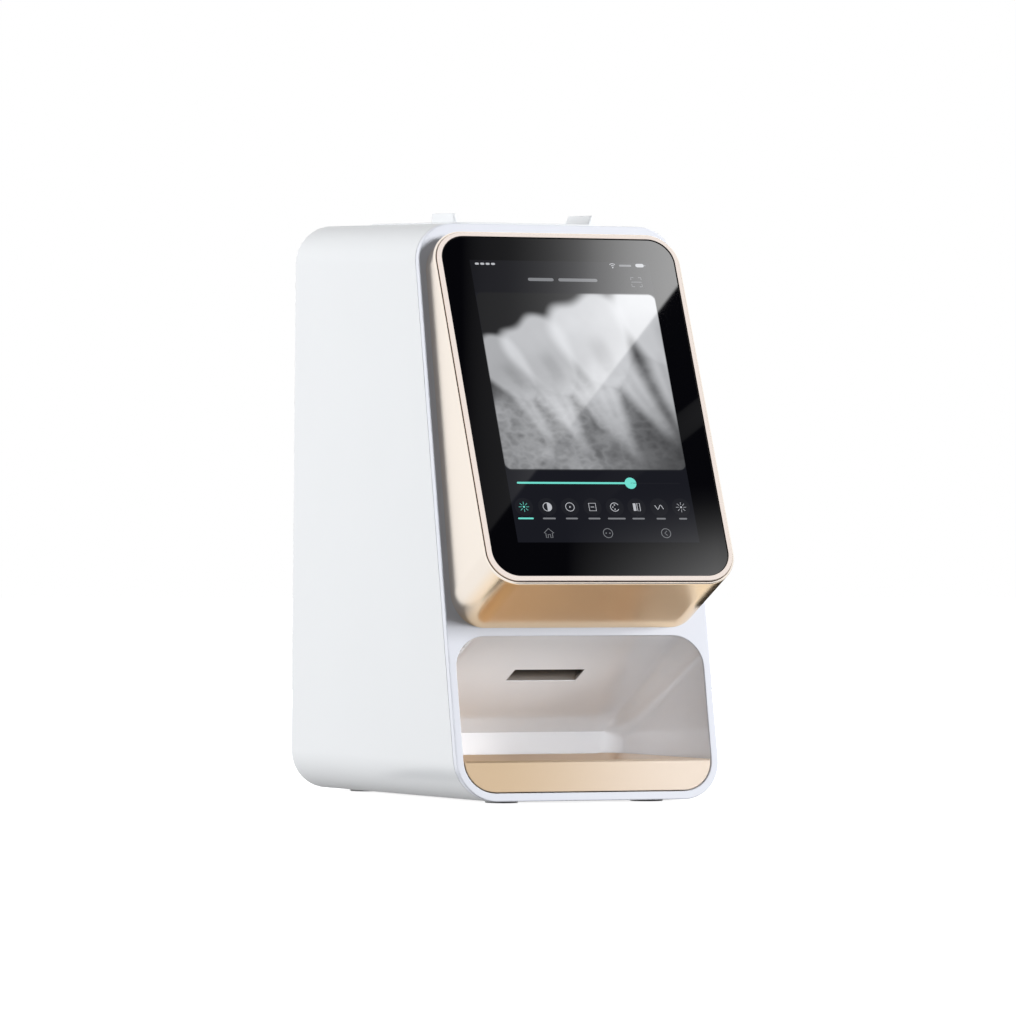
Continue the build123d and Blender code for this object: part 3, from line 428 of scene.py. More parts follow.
# Outline of the roof panel, drawn in by a step
def panelOutline(step):
    near = (roofTop["frontY"] - roofFrontY) / cosRise
    far = (roofTop["rearY"] - roofFrontY) / cosRise
    width = roofTop["width"] - 2 * step
    return roundedOutline(width, far - near - 2 * step, roofTop["radius"] - step, y=(near + far) / 2)


# Shell: closed rings from the seam over the outer skin to the rear rim and back along the inner skin
def buildShell():
    wall, edge = case["wall"], case["rimEdge"]
    seam = -case["frameThickness"] - case["seamGap"]
    rings = [caseRing(wall, frontPlane, seam)]
    rings += [caseRing(edge - x, frontPlane, seam - edge + y) for x, y in bend(0, 0, edge, 90, 0, 3)]
    outer = len(rings) - 1
    rings += [caseRing(edge - x, rearPlane, -edge + y) for x, y in bend(0, 0, edge, 0, 90, 3)]
    rings += [caseRing(wall, rearPlane, 0.0)]
    inner = len(rings) - 1
    columns = len(rings[0])
    roofStrip = columns // 2 - 1
    walls = gridPatch(
        np.stack(rings), closeRows=True, closeColumns=True, skip=[(outer, roofStrip), (inner, roofStrip)]
    )
    opening = sweepOutline(roofPlane, panelOutline(roofTop["step"]), [(0.0, 0.0), (0.0, -wall)])
    patches = [walls, gridPatch(opening, closeColumns=True)]
    for row, loop in ((outer, opening[0]), (inner, opening[1])):
        nextRow = (row + 1) % len(rings)
        corners = [rings[row][roofStrip], rings[row][roofStrip + 1]]
        corners += [rings[nextRow][roofStrip + 1], rings[nextRow][roofStrip]]
        patches.append(flatPatch(np.array(corners), loop))
    return buildPiece("case_shell", patches, "white_shell", "case", ["outer_shell"])


# Mouth of the bay at a depth behind the front, drawn straight back:
# front outline + depth / cos(lean) along Y
def mouthRing(offset, depth):
    width = case["width"] - 2 * bay["strip"]
    outline = roundedOutline(width, bay["height"], bay["radius"], y=bay["sill"] + bay["height"] / 2)
    ring = sweepOutline(frontPlane, outline, [(offset, 0.0)])[0]
    return ring + np.array([0.0, depth / cosFront, 0.0])


# Window behind the display: its outline slid square to the glass on to a plane behind the front
def windowRing(depth):
    outline = roundedOutline(display["windowWidth"], display["windowHeight"], display["windowRadius"])
    ring = sweepOutline(screenPlane, outline, [(0.0, 0.0)])[0]
    return meet(ring, screenPlane["n"], frontPlane, -depth)


# Front frame: rounded outer rim, flat face and back with two openings, thin rounded lip round the mouth
def buildFrame():
    thick, edge = case["frameThickness"], case["frameEdge"]
    seamEdge, mouthEdge = case["rimEdge"], bay["mouthEdge"]
    rim = [(seamEdge - x, -thick + seamEdge + y) for x, y in bend(0, 0, seamEdge, -90, 0, 3)]
    rim += [(edge - x, -edge + y) for x, y in bend(0, 0, edge, 0, 90, 7)]
    rings = np.stack([caseRing(inset, frontPlane, height) for inset, height in rim])
    rounding = [(mouthEdge - x, mouthEdge - y) for x, y in bend(0, 0, mouthEdge, 90, 0, 5)]
    lip = [(0.0, bay["lip"]), (bay["liner"], bay["lip"]), (bay["liner"], thick)]
    mouth = np.stack([mouthRing(offset, depth) for offset, depth in rounding + lip])
    window = np.stack([windowRing(0.0), windowRing(thick)])
    patches = [gridPatch(rings, closeColumns=True), gridPatch(mouth, closeColumns=True)]
    patches += [gridPatch(window, closeColumns=True), flatPatch(rings[-1], mouth[0], window[0])]
    patches.append(flatPatch(rings[0], mouth[-1], window[-1]))
    return buildPiece("case_front_frame", patches, "white_frame", "case", ["front_frame"])


glassOutline = roundedOutline(display["glassWidth"], display["glassHeight"], display["glassRadius"], steps=20)


# Housing: one closed profile round the glass outline; both walls run back, square to the glass, to the
# front's plane
def buildHousing():
    seat = display["ringWidth"] + display["ringGroove"]
    outer = seat + display["lip"]
    inner = outer - display["wall"]
    edge, seatEdge, drop = display["lipEdge"], display["seatEdge"], display["drop"]
    seatHeight = display["ringProud"] - display["ringDepth"]
    shelfBack = seatHeight - display["shelfThickness"]
    profile = [(x + outer - edge, y - drop - edge) for x, y in bend(0, 0, edge, 0, 90, 7)]
    profile += [(seat + seatEdge, -drop), (seat, -drop - seatEdge), (seat, seatHeight)]
    profile += [(-display["shelfWidth"], seatHeight), (-display["shelfWidth"], shelfBack), (inner, shelfBack)]
    upper = sweepOutline(screenPlane, glassOutline, profile)
    foot = [meet(upper[row], screenPlane["n"], frontPlane, 0.0) for row in (-1, 0)]
    rings = np.concatenate([upper, np.stack(foot)])
    patch = gridPatch(rings, closeRows=True, closeColumns=True)
    return buildPiece("display_gold_housing", [patch], "gold_satin", "case", ["display_housing"])


# Ring: its top falls outwards, height = high - fall * x - bow * x^2, to a rounded outer edge
def buildRing():
    low, high = display["ringProud"] - display["ringDepth"], display["ringProud"]
    width, edge = display["ringWidth"], display["ringEdge"]
    x = np.linspace(width - edge, 0.0, 10)
    y = high - display["ringFall"] * x - display["ringBow"] * x ** 2
    profile = [(0.0, low), (width, low)] + bend(x[0], y[0] - edge, edge, 0, 70, 5) + list(zip(x, y))
    patch = gridPatch(sweepOutline(screenPlane, glassOutline, profile), closeRows=True, closeColumns=True)
    return buildPiece("display_rose_ring", [patch], "rose_ring", "case", ["display_ring"])


# Cover glass: flat slab with a polished round edge
def buildGlass():
    gap, edge, thick = display["glassGap"], display["glassEdge"], display["glassThickness"]
    profile = [(-gap, -thick)] + [(x - gap - edge, y - edge) for x, y in bend(0, 0, edge, 0, 90, 5)]
    rings = sweepOutline(screenPlane, glassOutline, profile)
    patches = [gridPatch(rings, closeColumns=True), flatPatch(rings[0]), flatPatch(rings[-1])]
    return buildPiece("display_glass", patches, "screen_glass", "case", ["cover_glass"])


# Section of the bay at a place along Y, from the top left over the floor to the top right: lower corner
# ellipses, a straight rise and upper corner ellipses up to the top, all held inside the round rear corners
# of the bay's plan
def baySection(y, grow, top, corner=0.0, steps=10, rise=6):
    half = case["width"] / 2 - bay["strip"] + grow
    radius = bay["radius"] + grow
    low = (bay["sill"] - grow) * cosFront
    turn = np.radians(np.linspace(-90, 0, steps + 1))
    x = half - radius + radius * np.cos(turn)
    z = low + radius * cosFront * (1 + np.sin(turn))
    climb = np.linspace(z[-1], top - corner * cosFront, rise + 1)[1:]
    x, z = np.append(x, np.full(rise, half)), np.append(z, climb)
    if corner > 0:
        x = np.append(x, half - corner * (1 + np.sin(turn[1:])))
        z = np.append(z, top - corner * cosFront * (1 - np.cos(turn[1:])))
    rear = bay["rearRadius"] + grow
    past = np.clip((y - (bay["depth"] + grow - rear)) / rear, 0.0, 1.0)
    x = np.minimum(x, half - rear * (1 - math.sqrt(1 - past ** 2)))
    x = np.concatenate([-x[::-1], x])
    z = np.concatenate([z[::-1], z])
    return np.stack([x, np.full(x.shape, y), z], axis=-1)


ceilingZ = (bay["sill"] + bay["height"]) * cosFront
ceilingY = (bay["sill"] + bay["height"]) * sinFront
ceilingSlope = math.atan2(ceilingZ - bay["rearHeight"], bay["depth"] - ceilingY)


# Height of the bay's ceiling = start height - (y - start) * tan(slope), raised square to itself by grow
def ceilingAt(y, grow):
    return ceilingZ - (y - ceilingY) * math.tan(ceilingSlope) + grow / math.cos(ceilingSlope)


# Radius of the bay's upper corners: the mouth's at the front, shrinking evenly to the back wall's
def cornerAt(y, grow):
    share = np.clip((y - ceilingY) / (bay["depth"] - ceilingY), 0.0, 1.0)
    return bay["radius"] + (bay["backCorner"] - bay["radius"]) * share + grow


# Front edge of a section: the same contour on the front plane at a depth,
# y = z * tan(lean) + depth / cos(lean)
def onFront(section, depth):
    y = section[:, 2] * math.tan(case["frontLean"]) + depth / cosFront
    return np.stack([section[:, 0], y, section[:, 2]], axis=-1)


# Skin of the bay from the mouth to the back wall: sections at stations along Y, evenly to the start of the
# rear corners and then by the sine of an even turn
def baySkin(grow, depth, startY, topOf, cornerOf=lambda y: 0.0, steps=14, rearSteps=8):
    back = bay["depth"] + grow
    rear = bay["rearRadius"] + grow
    stations = np.linspace(startY, back - rear, steps)
    rearStations = back - rear + rear * np.sin(np.radians(np.linspace(0, 90, rearSteps + 1)))
    stations = np.concatenate([stations, rearStations[1:]])
    first = onFront(baySection(0.0, grow, topOf(ceilingY), cornerOf(ceilingY)), depth)
    rows = [first] + [baySection(y, grow, topOf(y), cornerOf(y)) for y in stations]
    return np.stack(rows) + rowShift


# Outlet slot at a height over the ceiling, grown by a wall, its rear edge moved forward
def slotRing(height, wall=0.0, forward=0.0):
    x = np.array([-1, 1, 1, -1]) * (bay["slotWidth"] / 2 + wall)
    reach = np.array([-1, -1, 1, 1]) * (bay["slotLength"] / 2 + wall) - np.array([0, 0, 1, 1]) * forward
    y = bay["slotY"] + reach * math.cos(ceilingSlope)
    lift = height * math.sin(ceilingSlope)
    return np.stack([x, y + lift, ceilingAt(y + lift, height)], axis=-1) + rowShift


# Liner: inner and outer skin of the bay, with the outlet slot in the ceiling
def buildLiner():
    patches = []
    loops = []
    slots = []
    startY = ceilingY + case["frameThickness"] / cosFront
    for grow in (0.0, bay["liner"]):
        skin = baySkin(grow, bay["lip"], startY, lambda y: ceilingAt(y, grow), lambda y: cornerAt(y, grow))
        slots.append(slotRing(grow, bay["throatWall"]))
        loops.append(skin[0])
        patches += [gridPatch(skin), flatPatch(skin[-1])]
        patches.append(flatPatch(np.concatenate([skin[:, 0], skin[::-1, -1]]), slots[-1]))
    patches += [gridPatch(np.stack(rings), closeColumns=True) for rings in (loops, slots)]
    return buildPiece("bay_moulded_liner", patches, "liner_plastic", "case", ["bay_liner"])


# Throat above the outlet slot: four walls, the rear one leaning forward over the slot
def buildThroat():
    low, high, wall, lean = bay["throatLow"], bay["throat"], bay["throatWall"], bay["throatLean"]
    outer = wall - bay["throatGap"]
    rings = [slotRing(low), slotRing(high, 0.0, lean), slotRing(high, outer, lean), slotRing(low, outer)]
    patch = gridPatch(np.stack(rings), closeRows=True, closeColumns=True)
    # The throat takes the finish with painted shade, darker towards its top
    return buildPiece("bay_slot_throat", [patch], "liner_plastic", "case", finish=finishes["slot_throat_painted_shade"])


# Contour of the tray's front: the bay's section below the tray's top, drawn in, closed along the top
def lipRing(inset, depth):
    section = baySection(0.0, -tray["gap"] - inset, tray["top"] - inset)
    return onFront(section, depth) + rowShift


# Tray: a front plate with a rounded face, and a pan of two skins of the bay, the inner one smaller by a
# wall, closed by a flat rim
def buildTray():
    edge, front = tray["edge"], tray["front"]
    rings = [lipRing(edge - x, edge - y) for x, y in bend(0, 0, edge, 90, 0, 5)] + [lipRing(0.0, front)]
    rings = np.stack(rings)
    patches = [gridPatch(rings, closeColumns=True), flatPatch(rings[0]), flatPatch(rings[-1])]
    buildPiece("tray_gold_front", patches, "gold_tray", "tray", ["tray_front"])

    grows = (-tray["gap"], -tray["gap"] - tray["wall"])
    depths = (front, front + tray["wall"])
    rims = []
    patches = []
    for grow, depth in zip(grows, depths):
        startY = tray["top"] * math.tan(case["frontLean"]) + depth / cosFront
        skin = baySkin(grow, depth, startY, lambda y: tray["top"])
        patches += [gridPatch(skin), flatPatch(skin[0]), flatPatch(skin[-1])]
        rims.append(np.concatenate([skin[:, 0], skin[::-1, -1]]))
    patches.append(flatPatch(*rims))
    return buildPiece("tray_gold_pan", patches, "gold_tray", "tray", ["tray_pan"])


# Roof panel: rounded step round its outline, flat top and underside with the inlet slot through both
def buildRoofPanel():
    rise, edge, wall = roofTop["rise"], roofTop["edge"], case["wall"]
    plug = -roofTop["step"] - roofTop["gap"]
    profile = [(x - edge, y + rise - edge) for x, y in bend(0, 0, edge, 90, 0, 5)]
    profile += [(0.0, 0.0), (plug, 0.0), (plug, -wall)]
    rings = sweepOutline(roofPlane, panelOutline(0.0), profile)
    slotY = (roofTop["inletY"] - roofFrontY) / cosRise
    outline = roundedOutline(roofTop["slotWidth"], roofTop["slotLength"], roofTop["slotRadius"], y=slotY)
    profile = [(edge - x, rise - edge + y) for x, y in bend(0, 0, edge, 90, 0, 5)] + [(0.0, -wall)]
    slot = sweepOutline(roofPlane, outline, profile)
    patches = [gridPatch(rings, closeColumns=True), gridPatch(slot, closeColumns=True)]
    patches += [flatPatch(rings[0], slot[0]), flatPatch(rings[-1], slot[-1])]
    return buildPiece("roof_raised_panel", patches, "white_shell", "case", ["top_panel"])


# Guide rails: a rounded footprint that rises while its inner side slopes outwards, x + slope * share of the
# way in * share of the height
def buildRails():
    base, height, edge = roofTop["railBase"], roofTop["railHeight"], roofTop["railEdge"]
    slotY = (roofTop["inletY"] - roofFrontY) / cosRise
    outline = roundedOutline(base, roofTop["railLength"], roofTop["railCorner"], y=slotY, steps=8)
    profile = np.array([(0.0, 0.0)] + [(x - edge, y + height - edge) for x, y in bend(0, 0, edge, 0, 90, 5)])
    reach = (outline["radius"] + profile[:, 0])[:, None, None]
    flat = outline["centre"][None] + reach * outline["direction"][None]
    lift = profile[:, 1][:, None]
    inward = 0.5 - flat[..., 0] / base
    x = roofTop["railSpacing"] / 2 + base / 2 + flat[..., 0] + inward * roofTop["railSlope"] * lift / height
    patches = []
    for side in (-1, 1):
        rings = onPlane(roofPlane, side * x, flat[..., 1], roofTop["rise"] + lift)
        patches += [gridPatch(rings, closeColumns=True), flatPatch(rings[0]), flatPatch(rings[-1])]
    return buildPiece("roof_guide_rails", patches, "white_shell", "case", ["guide_rails"])


# Turned shape round a place of a plane: rings of radius(v) at height(v), less sink(x, y) on its top rows
def turnedPatch(plane, x, y, profile, steps=48, sink=None, topFrom=0):
    profile = np.array(profile, float)
    angle = np.linspace(0, math.tau, steps, endpoint=False)
    awayX = profile[:, 0][:, None] * np.cos(angle)
    awayY = profile[:, 0][:, None] * np.sin(angle)
    height = np.repeat(profile[:, 1][:, None], steps, axis=1)
    if sink is not None:
        height[topFrom:] -= sink(awayX[topFrom:], awayY[topFrom:])
    return gridPatch(onPlane(plane, x + awayX, y + awayY, height), closeColumns=True)


rearScrew = {
    "x": 0.0577, "places": (0.024, 0.143, 0.262), "head": 0.0028, "seat": -0.0015, "top": -0.0003,
    "edge": 0.0003, "dome": 0.0003, "shaft": 0.0015, "length": 0.006,
    "slotWidth": 0.0006, "slotReach": 0.0017, "slotDepth": 0.0007, "slotSoft": 0.00012, "slotFade": 0.4,
}


# Depth of the cross in a screw's head: full within two crossed slots, shallower towards their ends
def crossSlot(x, y):
    look = rearScrew
    near, far = np.minimum(np.abs(x), np.abs(y)), np.maximum(np.abs(x), np.abs(y))
    half, reach, soft = look["slotWidth"] / 2, look["slotReach"], look["slotSoft"]
    inside = smoothStep(half + soft, half - soft, near) * smoothStep(reach + soft, reach - soft, far)
    return look["slotDepth"] * inside * (1 - look["slotFade"] * far / reach)


# Rear screws: shaft, round head with a low dome = rim + dome * (1 - (r / head)^2), and a crossed slot
def buildScrews():
    look = rearScrew
    shaftEnd, rim = look["seat"] - look["length"], look["top"] - look["dome"]
    base = [(0.0, shaftEnd), (look["shaft"], shaftEnd)]
    base += [(look["shaft"], look["seat"]), (look["head"], look["seat"])]
    base += bend(look["head"] - look["edge"], rim - look["edge"], look["edge"], 0, 80, 4)
    radii = np.linspace(base[-1][0], 0.0, 26)[1:]
    top = [(r, rim + look["dome"] * (1 - (r / look["head"]) ** 2)) for r in radii]
    patches = [
        turnedPatch(rearPlane, side * look["x"], place, base + top, 96, crossSlot, len(base))
        for side in (-1, 1) for place in look["places"]
    ]
    return buildPiece("rear_panel_screws", patches, "steel_rod", "case", ["rear_screws"])


caseFoot = {
    "x": 0.038, "places": (0.022, 0.206), "radius": 0.008, "height": 0.0012, "edge": 0.0004,
    "hollow": 0.0002, "hollowOuter": 0.00496, "hollowInner": 0.00448,
}


# Feet: short discs, rounded below, with a shallow round hollow under them
def buildFeet():
    look = caseFoot
    edge, low = look["edge"], -look["height"]
    ceiling = low + look["hollow"]
    profile = [(0.0, 0.0), (look["radius"], 0.0)] + bend(look["radius"] - edge, low + edge, edge, 0, -90, 5)
    profile += [(look["hollowOuter"], low), (look["hollowInner"], ceiling), (0.0, ceiling)]
    patches = [
        turnedPatch(floorPlane, side * look["x"], place, profile)
        for side in (-1, 1) for place in look["places"]
    ]
    return buildPiece(
        "case_rubber_feet", patches, "dark_rubber", "case", ["rubber_feet"], finish=finishes["foot_rubber"]
    )


sockets = {
    "x": 0.044, "corner": 0.00012, "edge": 0.0001,
    "lanY": 0.040, "lanInsert": (0.0114, 0.0080), "lanDepth": (-0.0185, -0.0105),
    "lanCount": 8, "lanPitch": 0.00102, "lanContact": (0.00042, 0.00030), "lanContactY": 0.0433,
    "lanContactDepth": (-0.0185, -0.0045),
    "usbY": 0.0666, "usbTongue": (0.0108, 0.0018), "usbDepth": (-0.0146, -0.0036),
    "usbCount": 4, "usbPitch": 0.0024, "usbContact": (0.0011, 0.0003), "usbContactY": 0.0657,
    "usbContactDepth": (-0.0146, -0.0042),
}


# Bar that runs into a socket: a small rounded rectangle carried from back to front, its front edge bevelled
def socketBar(x, y, size, depth):
    outline = roundedOutline(*size, sockets["corner"], x=x, y=y, steps=4)
    back, front = depth
    edge = sockets["edge"]
    rings = sweepOutline(rearPlane, outline, [(0.0, back), (0.0, front - edge), (-edge, front)])
    return [gridPatch(rings, closeColumns=True), flatPatch(rings[0]), flatPatch(rings[-1])]


# Row of contacts of a socket, evenly to both sides of the sockets' middle: x + (k - middle) * pitch
def contactRow(kind):
    look = sockets
    count, pitch = look[kind + "Count"], look[kind + "Pitch"]
    bars = [
        socketBar(look["x"] + (k - (count - 1) / 2) * pitch, look[kind + "ContactY"], look[kind + "Contact"],
                  look[kind + "ContactDepth"])
        for k in range(count)
    ]
    return [patch for bar in bars for patch in bar]


# What shows inside the two data sockets: insert, tongue and rows of contacts
def buildSocketInsides():
    look = sockets
    insert = socketBar(look["x"], look["lanY"], look["lanInsert"], look["lanDepth"])
    tongue = socketBar(look["x"], look["usbY"], look["usbTongue"], look["usbDepth"])
    buildPiece("lan_socket_insert", insert, "black_plastic", "case")
    buildPiece("usb_socket_tongue", tongue, "liner_plastic", "case")
    buildPiece("socket_contacts", contactRow("lan") + contactRow("usb"), "brass_bush", "case")


# Lit screen in the glass plane: places and sizes of what it shows
screenLook = {
    "low": -0.00005, "pictureLift": 0.00002, "symbolLift": 0.00005, "x": 0.0003, "y": 0.0026,
    "width": 0.0944, "height": 0.1508, "cell": 0.0005,
    "left": -0.0468, "right": 0.0475, "top": 0.0605, "bottom": -0.0342, "corner": 0.0035,
    "panel": (0.0085, 0.0090, 0.0125), "header": (0.0060, 0.0062, 0.0085), "filmTint": (0.97, 0.985, 1.02),
    "teal": (0.17, 0.73, 0.62), "white": (0.50, 0.51, 0.54), "dim": (0.20, 0.205, 0.22),
    "disc": (0.013, 0.0135, 0.017), "line": 0.00034, "iconRadius": 0.0022, "discRadius": 0.0047,
    "discSink": 0.00002, "iconPlaces": (-0.0407, -0.0286, -0.0169, -0.0052, 0.0064, 0.0178, 0.0296, 0.0411),
    "iconY": -0.0541, "labelHalves": (0.0040, 0.0033, 0.0031, 0.0031, 0.0046, 0.0032, 0.0024, 0.0021),
    "labelY": -0.0602, "labelThick": 0.00085,
}


# Seeded lattice of tones, blended by smooth steps between its points, in layers that double in detail and
# halve in weight
def cloud(p, q, cells, seed, layers=4, size=97):
    tones = np.random.default_rng(seed).random((layers, size, size))
    total = np.zeros_like(p)
    for layer in range(layers):
        a, b = p * cells * 2 ** layer, q * cells * 2 ** layer
        i, j = np.floor(a).astype(int), np.floor(b).astype(int)
        s, t = smoothStep(0, 1, a - i), smoothStep(0, 1, b - j)
        grid = tones[layer]
        i0, i1, j0, j1 = i % size, (i + 1) % size, j % size, (j + 1) % size
        low = grid[i0, j0] * (1 - s) + grid[i1, j0] * s
        high = grid[i0, j1] * (1 - s) + grid[i1, j1] * s
        total += (low * (1 - t) + high * t) / 2 ** (layer + 1)
    return total / (1 - 0.5 ** layers)


# Teeth of the radiograph: place of the crown's top, lean in degrees, half width, length, density
teeth = [
    {"p": -0.02, "q": 0.74, "lean": -34, "half": 0.15, "length": 0.74, "tone": 0.60},
    {"p": 0.20, "q": 0.85, "lean": -28, "half": 0.20, "length": 0.86, "tone": 0.72},
    {"p": 0.52, "q": 0.99, "lean": -21, "half": 0.25, "length": 0.98, "tone": 0.86},
    {"p": 0.93, "q": 1.14, "lean": -15, "half": 0.27, "length": 1.02, "tone": 0.90},
]


# Least of two values with a round passage between them, as wide as blend
def softLeast(first, second, blend):
    share = np.clip(0.5 + 0.5 * (second - first) / blend, 0.0, 1.0)
    return second * (1 - share) + first * share - blend * share * (1 - share)


# Changes of a tooth's form and density as (start, end, amount) along t, across s or by its depth inside
toothForm = {
    "neck": (0.16, 0.62, 0.42), "parting": (0.45, 1.0, 0.20), "taper": (0.50, 1.05, 0.26),
    "enamel": (0.42, 0.12, 0.16), "crownRim": (-0.04, 0.26, 1.0), "rootRim": (-0.04, 0.30, 0.76),
    "rootFade": (0.6, 1.02, 0.35),
    "coreWidth": (0.30, 0.04, 0.16), "coreTop": (0.22, 0.34, 1.0), "coreFoot": (0.56, 0.42, 1.0),
    "canalWidth": (0.14, 0.0, 0.16), "canalTop": (0.42, 0.54, 1.0),
}

# Plain measures of a tooth; a blend is the width of a round passage between two of its limits
toothMeasures = {
    "wave": 0.06, "waveCount": 5, "wavePhase": 9, "cuspBow": 0.045, "cuspHeight": 0.016, "cuspCount": 6.4,
    "cuspPhase": 3, "crownEnd": 0.60, "sideBlend": 0.45, "crownBlend": 0.4, "crownTone": 0.86,
    "rootStart": 0.34, "rootPart": 0.30, "rootWidth": 0.42, "rootBlend": 0.3,
    "tipShare": 0.5, "tipBlend": 0.2,
}


# Amount * smooth step from start to end of one of the changes above
def change(name, value):
    start, end, amount = toothForm[name]
    return amount * smoothStep(start, end, value)


# A tooth's density, with t from crown to root tips and s across: a crown with low cusps that narrows to its
# neck, two roots that part and taper, denser enamel at the top and a darker core
def toothTone(p, q, tooth):
    form = toothMeasures
    lean = math.radians(tooth["lean"])
    alongX, alongY = -math.sin(lean), -math.cos(lean)
    t = ((p - tooth["p"]) * alongX + (q - tooth["q"]) * alongY) / tooth["length"]
    s = ((p - tooth["p"]) * alongY - (q - tooth["q"]) * alongX) / tooth["half"]
    s = s + form["wave"] * np.sin(form["waveCount"] * t + tooth["tone"] * form["wavePhase"])
    shape = tooth["length"] / tooth["half"]
    ripple = np.cos(form["cuspCount"] * s + tooth["tone"] * form["cuspPhase"])
    cusps = form["cuspBow"] * s ** 2 - form["cuspHeight"] * ripple
    side = 1.0 - change("neck", t) - np.abs(s)
    crown = softLeast(side, (t - cusps) * shape, form["sideBlend"])
    crown = softLeast(crown, (form["crownEnd"] - t) * shape, form["crownBlend"])
    part = form["rootPart"] + change("parting", t)
    width = form["rootWidth"] - change("taper", t)
    roots = np.maximum(width - np.abs(s - part), width - np.abs(s + part))
    roots = softLeast(roots, (1.0 - t) * shape * form["tipShare"], form["tipBlend"])
    roots = softLeast(roots, (t - form["rootStart"]) * shape, form["rootBlend"])
    crownBody = (form["crownTone"] + change("enamel", t)) * change("crownRim", crown)
    body = np.maximum(crownBody, change("rootRim", roots))
    body = body * (1 - change("rootFade", t))
    core = change("coreWidth", np.abs(s)) * change("coreTop", t) * change("coreFoot", t)
    canal = change("canalWidth", np.abs(np.abs(s) - part)) * change("canalTop", t)
    return tooth["tone"] * body * (1 - core - canal)


# Bone and film of the radiograph
filmLook = {
    "crest": 0.42, "crestSlope": 0.26, "crestWave": 0.02, "crestCount": 11, "crestEdge": (0.14, -0.16),
    "grain": {"cells": 6, "seed": 3}, "strands": {"cells": 18, "seed": 5, "layers": 3},
    "strandTurn": (0.3, 1.3, 0.2), "bone": 0.30, "boneGrain": 0.34, "grainPower": 1.5,
    "boneStrand": 0.42, "strandWidth": 0.10,
    "side": (0.30, 0.95), "sideSlope": 0.35, "sideTone": (1.05, 0.78),
    "densest": 0.93, "mottle": 0.12, "base": 0.012, "gain": 0.80, "power": 1.18, "range": (0.010, 0.80),
}


# Radiograph: bone with fine strands under a sloping crest, dark air above it, teeth laid over one another,
# clear = product of (1 - density), tone = base + gain * (1 - clear) ^ power
def radiographTone(p, q):
    look = filmLook
    across, up, back = look["strandTurn"]
    crest = look["crest"] + look["crestSlope"] * p + look["crestWave"] * np.sin(look["crestCount"] * p)
    grain = cloud(p, q, **look["grain"])
    strands = np.abs(cloud(p + across * q, up * q - back * p, **look["strands"]) - 0.5)
    bone = look["bone"] + look["boneGrain"] * grain ** look["grainPower"]
    bone = bone + look["boneStrand"] * (look["strandWidth"] - strands)
    full, drop = look["sideTone"]
    sideFade = full - drop * smoothStep(*look["side"], p - look["sideSlope"] * q)
    bone = bone * smoothStep(*look["crestEdge"], q - crest) * sideFade
    clear = 1 - np.clip(bone, 0, 1)
    for tooth in teeth:
        clear = clear * (1 - np.clip(toothTone(p, q, tooth), 0, look["densest"]))
    total = (1 - clear) * (1 + look["mottle"] * (grain - 1))
    return np.clip(look["base"] + look["gain"] * total ** look["power"], *look["range"])


# Colour of the screen at a place: dark panel, darker header, the radiograph in its rounded field
def screenColour(x, y):
    look = screenLook
    colour = np.broadcast_to(np.array(look["panel"]), x.shape + (3,)).copy()
    colour[y > look["top"]] = look["header"]
    halfX, halfY = (look["right"] - look["left"]) / 2, (look["top"] - look["bottom"]) / 2
    awayX = np.abs(x - (look["left"] + halfX)) - halfX + look["corner"]
    awayY = np.abs(y - (look["bottom"] + halfY)) - halfY + look["corner"]
    away = np.hypot(np.maximum(awayX, 0), np.maximum(awayY, 0)) + np.minimum(np.maximum(awayX, awayY), 0)
    inside = smoothStep(look["cell"] * 0.6, -look["cell"] * 0.6, away - look["corner"])
    p = (x - look["left"]) / (2 * halfX)
    q = (y - look["bottom"]) / (2 * halfY)
    tone = radiographTone(np.clip(p, 0, 1), np.clip(q, 0, 1))[..., None] * np.array(look["filmTint"])
    return colour * (1 - inside[..., None]) + tone * inside[..., None]


# Colour of each point, kept in the mesh as the attribute that the lit screen reads
def paintPoints(mesh, colours):
    attribute = mesh.attributes.new("picture", "FLOAT_COLOR", "POINT")
    rgba = np.concatenate([colours, np.ones((len(colours), 1))], axis=1)
    attribute.data.foreach_set("color", rgba.astype(np.float32).ravel())


# Screen picture: a thin plate, its face a grid of cells, each point with its colour
def buildPicture():
    look = screenLook
    across = np.linspace(-0.5, 0.5, round(look["width"] / look["cell"]) + 1) * look["width"] + look["x"]
    up = np.linspace(-0.5, 0.5, round(look["height"] / look["cell"]) + 1) * look["height"] + look["y"]
    x, y = np.meshgrid(across, up)
    face = onPlane(screenPlane, x, y, look["pictureLift"])
    rim = np.concatenate([face[0, :-1], face[:-1, -1], face[-1, :0:-1], face[:0:-1, 0]])
    sunk = rim + (look["low"] - look["pictureLift"]) * screenPlane["n"]
    back = (sunk, [list(range(len(sunk)))])
    patches = [gridPatch(face), gridPatch(np.stack([rim, sunk]), closeColumns=True), back]
    piece = buildPiece("screen_picture", patches, "screen_glass", "case", finish=screenFinish)
    points = np.empty(len(piece.data.vertices) * 3)
    piece.data.vertices.foreach_get("co", points)
    local = points.reshape(-1, 3) - screenPlane["origin"]
    paintPoints(piece.data, screenColour(local @ screenPlane["x"], local @ screenPlane["y"]))
    return piece


